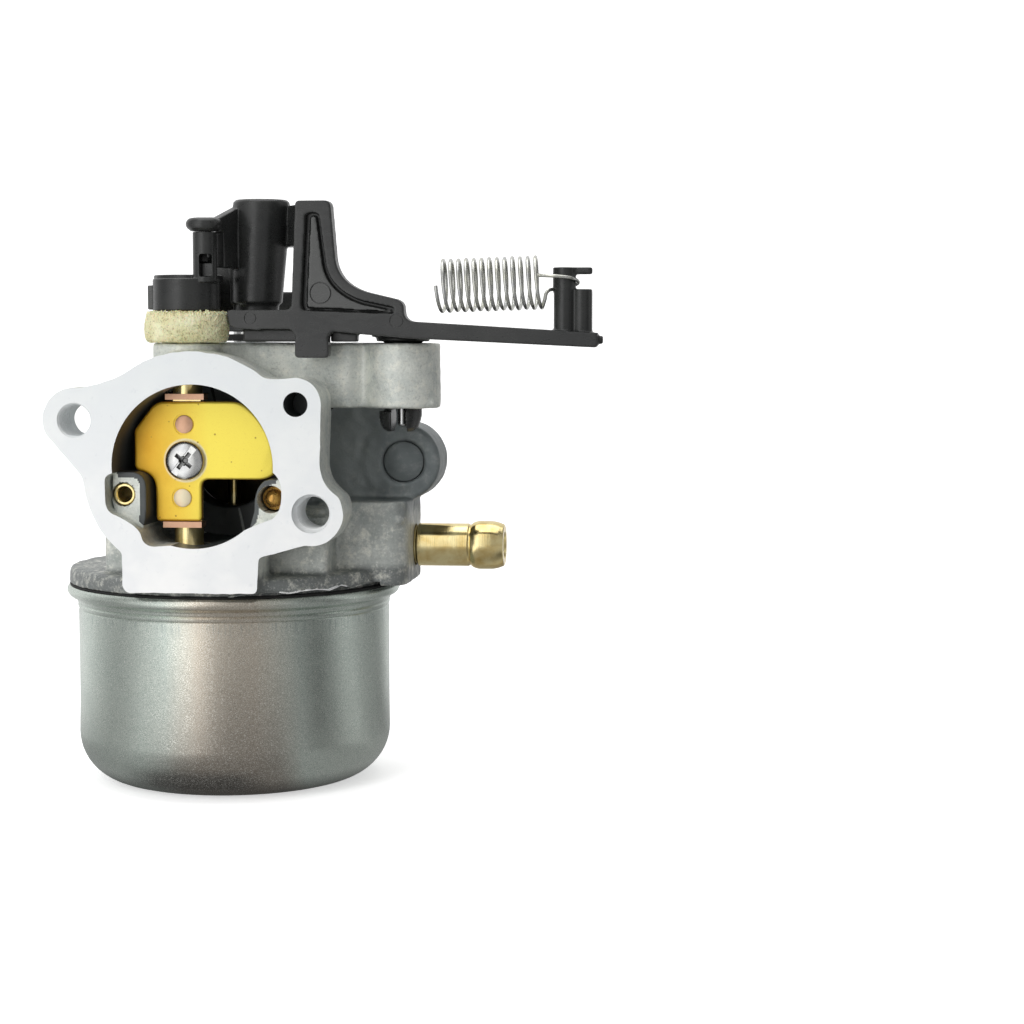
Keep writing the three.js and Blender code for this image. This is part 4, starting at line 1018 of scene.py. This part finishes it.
def foam_ring():
    """A squashed foam ring with a torn upper edge and open pores."""
    inner, top = CHOKE_R + 0.45, 71.15
    profile = outline((inner, 66.82), (5.5, 66.82), ((6.05, 66.95), (6.1, 68.6), 6),
                      ((6.1, top), (5.5, top), 6), (inner, top))
    ring = soften(lathe(profile, "Z", *CHOKE, 96), 0.1, 2)
    ripple(ring, 0.04, 2.6, 5)
    ripple(ring, 0.03, 0.35, 6)

    def torn(points):
        x, y, z = points.T
        return np.clip((z - top + 0.5) / 0.4, 0, 1) * (np.hypot(x - CHOKE_X, y - CHOKE_Y) > 5)

    return ripple(ring, 0.17, 0.32, 8, torn)


foam = place(foam_ring(), "foam_shaft_seal", "root", FOAM, "foam_seal", slot="foam")


# ---------- control lever ----------
def bracket_outline():
    return outline(
        (3.9, 69.3), (5.2, 68.75), (8.3, 68.6), (8.5, 68.75), (13.2, 68.7), (18.4, 68.45), (30, 67.4),
        (56.9, 66.1), (57.3, 66.6), (57.2, 68.2), (30.8, 69.8), ((29.6, 70), (29.45, 71), 5),
        (29.4, 72), ((29.2, 72.7), (28.4, 73), 5), (24.2, 74), ((19.9, 75.2), (19.5, 79), 14),
        (18.9, 86.2), ((18.8, 87.1), (18, 87.1), 6),
        (14.4, 87.1), ((13.7, 87.1), (13.7, 86.4), 6), (13.1, 72.6), ((13.1, 71.5), (12.2, 71.5), 5),
        (4.2, 71.5), ((3.6, 71.5), (3.6, 70.9), 5))


def recess_outline():
    points = outline(
        (14.9, 71.4), (27.7, 70.9), ((28.2, 71), (27.9, 71.9), 4), (23.6, 72.8),
        ((18.5, 74.4), (18.1, 78.6), 12), (17.2, 85.1), ((16.3, 85.8), (15.2, 85.1), 5), (14.5, 73),
        ((14.4, 71.6), (14.9, 71.4), 4))
    return points[:-1]


def control_lever():
    tower_x, tower_y, tower_r, tower_top = 6.9, -8.0, 4.17, 87.7
    knob_x, knob_y, knob_z = 1.38, -18.4, 82.7
    disc_x, disc_r = 0.75, 2.5
    bracket = cut(prism(bracket_outline(), "Y", WALL_Y, WALL_Y + WALL_T),
                  prism(recess_outline(), "Y", WALL_Y - 1, WALL_Y + 1.3))
    raised = [(x + 0.25 if x < 16 else x, z - 0.1 if z < 72 else z)
              for x, z in inset(recess_outline(), 0.62)]
    plateau = prism(raised, "Y", WALL_Y + 0.35, WALL_Y + 1.6)
    foot_outline = outline(
        (12.6, 68.9), (13.1, 68.5), ((13.6, 68.3), (13.6, 67.6), 4),
        (13.5, 65.2), ((13.5, 64.6), (14.1, 64.6), 4), (17.9, 64.6), ((18.5, 64.6), (18.5, 65.2), 4),
        (18.4, 67.4), ((18.5, 68.3), (19.4, 68.4), 4), (19.6, 69))
    foot = prism(foot_outline, "Y", WALL_Y, WALL_Y + 2)
    arm_back = prism([(20, 68.2), (30, 67.4), (57, 66.4), (57, 68.2), (30, 69.7), (20, 70)], "Y",
                     WALL_Y + WALL_T - 0.5, WALL_Y + 5.2)
    skirts = [block(x0, x1, -14.5, -12.7, TOP_Z + 0.2, 69.6) for x0, x1 in ((5.4, 13.6), (18.3, 22.2))]
    floor = prism([(4.3, WALL_Y + 1), (28.5, WALL_Y + 1), (28.5, PIVOT_Y), (24, PIVOT_Y + 2),
                   (12, -4.5), (5, -4.5)], "Z", 69.2, 71)
    wall = block(-0.3, 5, -8.5, -5.5, 69.6, 78.3)
    hub = rod("Z", *PIVOT, 67.6, 69.6, 4.6)
    pad = rod("Z", *PIVOT, TOP_Z + 0.25, 68, 3.9)
    tower = lathe([(0, 70.5), (3.3, 70.5), (3.3, 72.3), (3.75, 72.6), (tower_r, 82),
                   (tower_r, tower_top - 0.4), (tower_r - 0.42, tower_top), (0, tower_top)], "Z", 0, 0, 96)
    lean = 0.055
    shear = Matrix(((1, 0, lean, tower_x - lean * tower_top), (0, 1, 0, tower_y), (0, 0, 1, 0), (0, 0, 0, 1)))
    tower.data.transform(shear)
    rib = prism([(9.8, -6.6), (14, -14.6), (15.4, -14.6), (11.2, -5.4)], "Z", 80.8, 86.8)
    knob = lathe([(0, knob_z), (disc_r - 0.6, knob_z)] + arc(disc_r - 0.8, knob_z + 1.0, 0.9, -1.2, 1.5, 10)
                 + [(0, knob_z + 2)], "Z", disc_x, knob_y, 80)
    throat = rod("Z", disc_x - 0.1, knob_y, knob_z - 0.02, knob_z + 0.3, 1.7)
    pin = rod("Z", knob_x, knob_y, 79, knob_z + 0.5, 0.45, sides=24)
    end_x, end_y = 3.9, -9.0
    reach = math.hypot(end_x - knob_x, end_y - knob_y)
    arm = prism([(0, knob_z), (3.4, knob_z), (3.4, 77.6), (reach, 77.6), (reach, tower_top - 0.9),
                 (reach - 0.6, tower_top - 0.9), (2.2, knob_z + 2), (0, knob_z + 2)], "Y", -0.7, 0.7)
    heading = math.atan2(end_y - knob_y, end_x - knob_x)
    arm.data.transform(Matrix.Translation((knob_x, knob_y, 0)) @ Matrix.Rotation(heading, 4, "Z"))
    hooks_x = PIVOT_X - 0.45
    hooks = lathe([(0, 53.7), (1.9, 53.7), (2.7, 54.3), (3.1, 55.6), (3.1, 56.7), (0, 56.7)],
                  "Z", hooks_x, PIVOT_Y, 64)
    shank = cut(join(rod("Z", *PIVOT, 56, 68, 2.75), hooks),
                block(PIVOT_X - 1.45, PIVOT_X + 0.75, PIVOT_Y - 4, PIVOT_Y + 4, 53, 57.1),
                block(PIVOT_X - 0.85, PIVOT_X + 0.85, PIVOT_Y - 4, PIVOT_Y + 4, 57, 65.5))
    back = WALL_Y + 0.6
    post_a = prism(tapered(52.3, back + 1.2, 1.5, 52.3, back + 2.4, 1.5), "Z", 68, 74.6)
    post_b = prism(tapered(54.8, back + 1.6, 1.45, 54.8, back + 2.6, 1.45), "Z", 68, 74.4)
    post_pin = rod("Z", 52.3, back + 1.5, 74, 77.5, 1.65)
    hook = block(52.3, 56.3, back + 0.9, back + 2.1, 76.5, 77.5)
    nub = rod("X", WALL_Y + 1.3, 67.2, 56, 57.9, 0.6)
    lever = join(bracket, plateau, foot, arm_back, *skirts, floor, wall, hub, pad, tower, rib, knob, throat,
                 arm, shank, post_a, post_b, post_pin, hook, nub)
    cut(lever, rod("Z", tower_x, tower_y, 73, tower_top + 1, 1.9))
    soften(lever, 0.16, 4)
    ejector_marks = ((17.3, 73.9, 1.5, 0.65), (28.4, 69.9, 0.95, 0.2), (7.1, 70.3, 0.85, 0.2))
    marks = [ring_tool(x, z, r - 0.1, r + 0.1, WALL_Y - 1, WALL_Y + depth)
             for x, z, r, depth in ejector_marks]
    return join(cut(lever, *marks), pin)


place(control_lever(), "control_lever_moulding", "lever", PLASTIC, "control_lever", slot="black_plastic")


def spring():
    """Close-wound coil whose last turn bends up into a loop round the post."""
    axis_y, coil_r = WALL_Y + 0.4, 3.6
    start, pitch, turns, per_turn, lean = 34.48, 1.1, 13.25, 48, 0.06
    axis_z, climb = 74.85, 0.035
    points = []
    for i in range(round(turns * per_turn) + 1):
        turn = i / per_turn
        angle = (turn + 0.5) * 2 * math.pi
        swell = coil_r + 0.04 * math.sin(turn * 2.1)
        up = swell * math.sin(angle)
        x = start + turn * pitch - lean * up
        points.append((x, axis_y + swell * math.cos(angle), axis_z + climb * turn + up))
    loop = [points[-1], (49.7, axis_y - 0.6, 72.9), (49.9, axis_y - 0.5, 73.8), (50.4, axis_y + 0.3, 74.3),
            (51.4, axis_y + 2.2, 74.4), (52.6, -13.0, 74.7), (54.2, -14.3, 75.3), (53.6, -16.6, 75.9),
            (51.2, WALL_Y - 0.4, 76.2), (48.5, WALL_Y + 0.1, 76.35)]
    for i in range(len(loop) - 1):  # a smooth curve through the loop's points
        before, here, there, after = (Vector(loop[min(max(i + k, 0), len(loop) - 1)]) for k in (-1, 0, 1, 2))
        for step in range(1, 9):
            t = step / 8
            points.append(0.5 * (2 * here + (there - before) * t
                                 + (2 * before - 5 * here + 4 * there - after) * t * t
                                 + (3 * here - before - 3 * there + after) * t ** 3))
    curve = bpy.data.curves.new("spring", "CURVE")
    curve.dimensions = "3D"
    curve.bevel_depth = 0.26
    curve.bevel_resolution = 4
    curve.use_fill_caps = True
    line = curve.splines.new("POLY")
    line.points.add(len(points) - 1)
    for point, place_at in zip(line.points, points):
        point.co = (*place_at, 1)
    wire = add_to_scene("spring", curve)
    mesh = baked_mesh(wire)
    bpy.data.objects.remove(wire)
    return add_to_scene("spring", mesh)


place(spring(), "coil_spring", "lever", SPRING_STEEL, "governor_spring", slot="steel", crease=60)
lock_pin = lathe([(0, 54.6), (0.5, 54.6), (0.65, 54.8), (0.65, 64.8), (0.5, 65), (0, 65)],
                 "Z", PIVOT_X - 0.15, PIVOT_Y, 32)
place(lock_pin, "snap_lock_pin", "lever", STEEL, "pivot_lock_pin", slot="steel")


# ---------- throttle ----------
def throttle_lever():
    hub = rod("Z", *THROTTLE, 68.4, 71, 4.4, sides=80)
    arm = prism(tapered(0, THROTTLE_Y, 3.6, 9.5, THROTTLE_Y, 2.2), "Z", 68.4, 70.4)
    stop = block(4.8, 8, THROTTLE_Y - 2.4, THROTTLE_Y + 1.5, 70, 74.6)
    lever = join(hub, arm, stop)
    cut(lever, rod("Z", 9.9, THROTTLE_Y, 67, 72, 0.9, sides=24),
        rod("Z", *THROTTLE, 67, 73, THROTTLE_R + 0.25))
    return soften(lever, 0.13, 3)


place(throttle_lever(), "throttle_lever_moulding", "throttle", PLASTIC, "throttle_lever",
      slot="black_plastic")
butterfly = cut(rod("Y", *BORE, 12.65, 13.45, THROAT_R - 0.06, sides=160),
                rod("Y", *BORE, 8, 20, 1.2, sides=32))
place(bevel(butterfly, 0.1), "brass_throttle_plate", "throttle", SHADED_BRASS, "throttle_plate", slot="brass")


# ---------- CAD nodes that keep their shape ----------
KEPT = {"main_jet": BRASS, "inlet_seat": BRASS, "inlet_needle": STEEL, "float_hinge_pin": STEEL,
        "float_arm": STEEL, "float": PLASTIC, "throttle_shaft": STEEL, "throttle_screw": STEEL,
        "throttle_shaft_seal": RUBBER, "throttle_lever_clip": STEEL}
for node, material in KEPT.items():
    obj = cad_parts[node]
    give(obj, material)
    add_bevel(obj, 0.08 * MM, 40)


# ---------- stage, light and camera ----------
# The soft boxes and dark cards round the object, as the room's brightness by direction. Degrees are counted
# from the air cleaner's side towards the fuel side.
ROOM = ((-180, 0.8), (-150, 0.85), (-123, 0.9), (-106, 0.72), (-92, 0.5), (-77, 0.34),
        (-65, 0.42), (-54, 0.66), (-43, 0.88), (-33, 1.1), (-24, 1.5), (-15, 1.5), (-7, 0.95),
        (1, 0.44), (15, 0.38), (40, 0.42), (50, 0.37), (60, 0.25), (68, 0.11), (76, 0.13), (84, 0.26),
        (92, 0.48), (101, 0.66), (112, 0.32), (122, 0.32), (136, 0.2), (147, 0.5), (160, 0.75), (180, 0.8))
BRIGHTEST = 1.5


def room_light(nodes, direction):
    """The room's brightness in a direction, over BRIGHTEST."""
    from_front = nodes.times(nodes.part_of(direction, "Y"), -1)
    azimuth = nodes.math("ARCTAN2", nodes.part_of(direction, "X"), from_front)
    stops = [(degrees / 360 + 0.5, level / BRIGHTEST) for degrees, level in ROOM]
    return nodes.ramp(nodes.span(azimuth, -math.pi, math.pi), *stops)


def studio():
    """A pale floor that sweeps up into the backdrop, and a soft room."""
    bm = bmesh.new()
    half, front, back, sweep, top = 3.0, -2.0, 0.5, 0.8, 3.0
    curve = [(back + sweep * math.sin(t), sweep - sweep * math.cos(t))
             for t in np.linspace(0.1, math.pi / 2, 16)]
    profile = [(front, 0.0), (back, 0.0)] + curve + [(back + sweep, top)]
    left, right = [[bm.verts.new((x, y, z)) for y, z in profile] for x in (-half, half)]
    for i in range(len(profile) - 1):
        bm.faces.new((left[i], right[i], right[i + 1], left[i + 1]))
    floor = make_object("studio_floor", bm)
    floor.data.shade_smooth()
    # What the metal sees of the floor is a painted glow that carries the room's bands on, with a painted
    # shadow close to the object.
    black, grey, white = (0.0, 0.0, 0.0), (0.36, 0.36, 0.36), (0.9, 0.9, 0.9)
    paper = Tree("pale_paper")
    seen = paper.add("LightPath", {}, "Is Camera Ray")
    away = paper.distance(paper.axis("X"), paper.minus(paper.axis("Y"), BOWL_Y))
    open_floor = paper.times(paper.span(away, 27, 120, 0.55, 1), paper.span(away, 19, 23, 0.3, 1))
    bands = paper.mix(paper.span(away, 26, 75), grey, room_light(paper, paper.position))
    bands = paper.mix(open_floor, black, bands)
    give(floor, paper.finish(paper.mix(seen, black, white), 0.9, Emission_Color=paper.mix(seen, bands, grey),
                             Emission_Strength=BRIGHTEST))

    world = bpy.data.worlds.new("studio_air")
    bpy.context.scene.world = world
    world.use_nodes = True
    air = Nodes(world.node_tree)
    background = air.nodes["Background"]
    air.put(background.inputs["Color"], room_light(air, air.add("TexCoord", {}, "Generated")))
    air.put(background.inputs["Strength"], BRIGHTEST)
    backdrop = air.add("Background", {"Color": (1, 1, 1)})
    seen = air.add("LightPath", {}, "Is Camera Ray")
    either = air.add("MixShader", {"Fac": seen, 1: background.outputs[0], 2: backdrop})
    air.put(air.nodes["World Output"].inputs["Surface"], either)


def soft_box(name, place_at, aim, size, watts, reflected=True):
    light = bpy.data.lights.new(name, "AREA")
    light.shape = "RECTANGLE"
    light.size, light.size_y = size
    light.energy = watts
    obj = add_to_scene(name, light)
    obj.location = place_at
    obj.rotation_euler = (Vector(aim) - Vector(place_at)).to_track_quat("-Z", "Y").to_euler()
    obj.visible_glossy = reflected


def camera():
    data = bpy.data.cameras.new("camera")
    data.lens = 77.7
    data.sensor_width = 36
    data.clip_start = 0.01
    obj = add_to_scene("camera", data)
    obj.location = ORIGIN + Vector((78, -331, 68)) * MM
    pitch, yaw = math.radians(4.6), math.radians(6)
    obj.rotation_euler = (math.pi / 2 - pitch, 0, yaw)
    bpy.context.scene.camera = obj


studio()
soft_box("key", (-0.3, -0.8, 0.36), (0, 0, 0.05), (0.3, 0.8), 2.7, reflected=False)
soft_box("top", (0, 0.05, 0.8), (0, 0, 0), (0.7, 0.7), 2.0)
camera()
bpy.context.scene.view_settings.view_transform = "Standard"
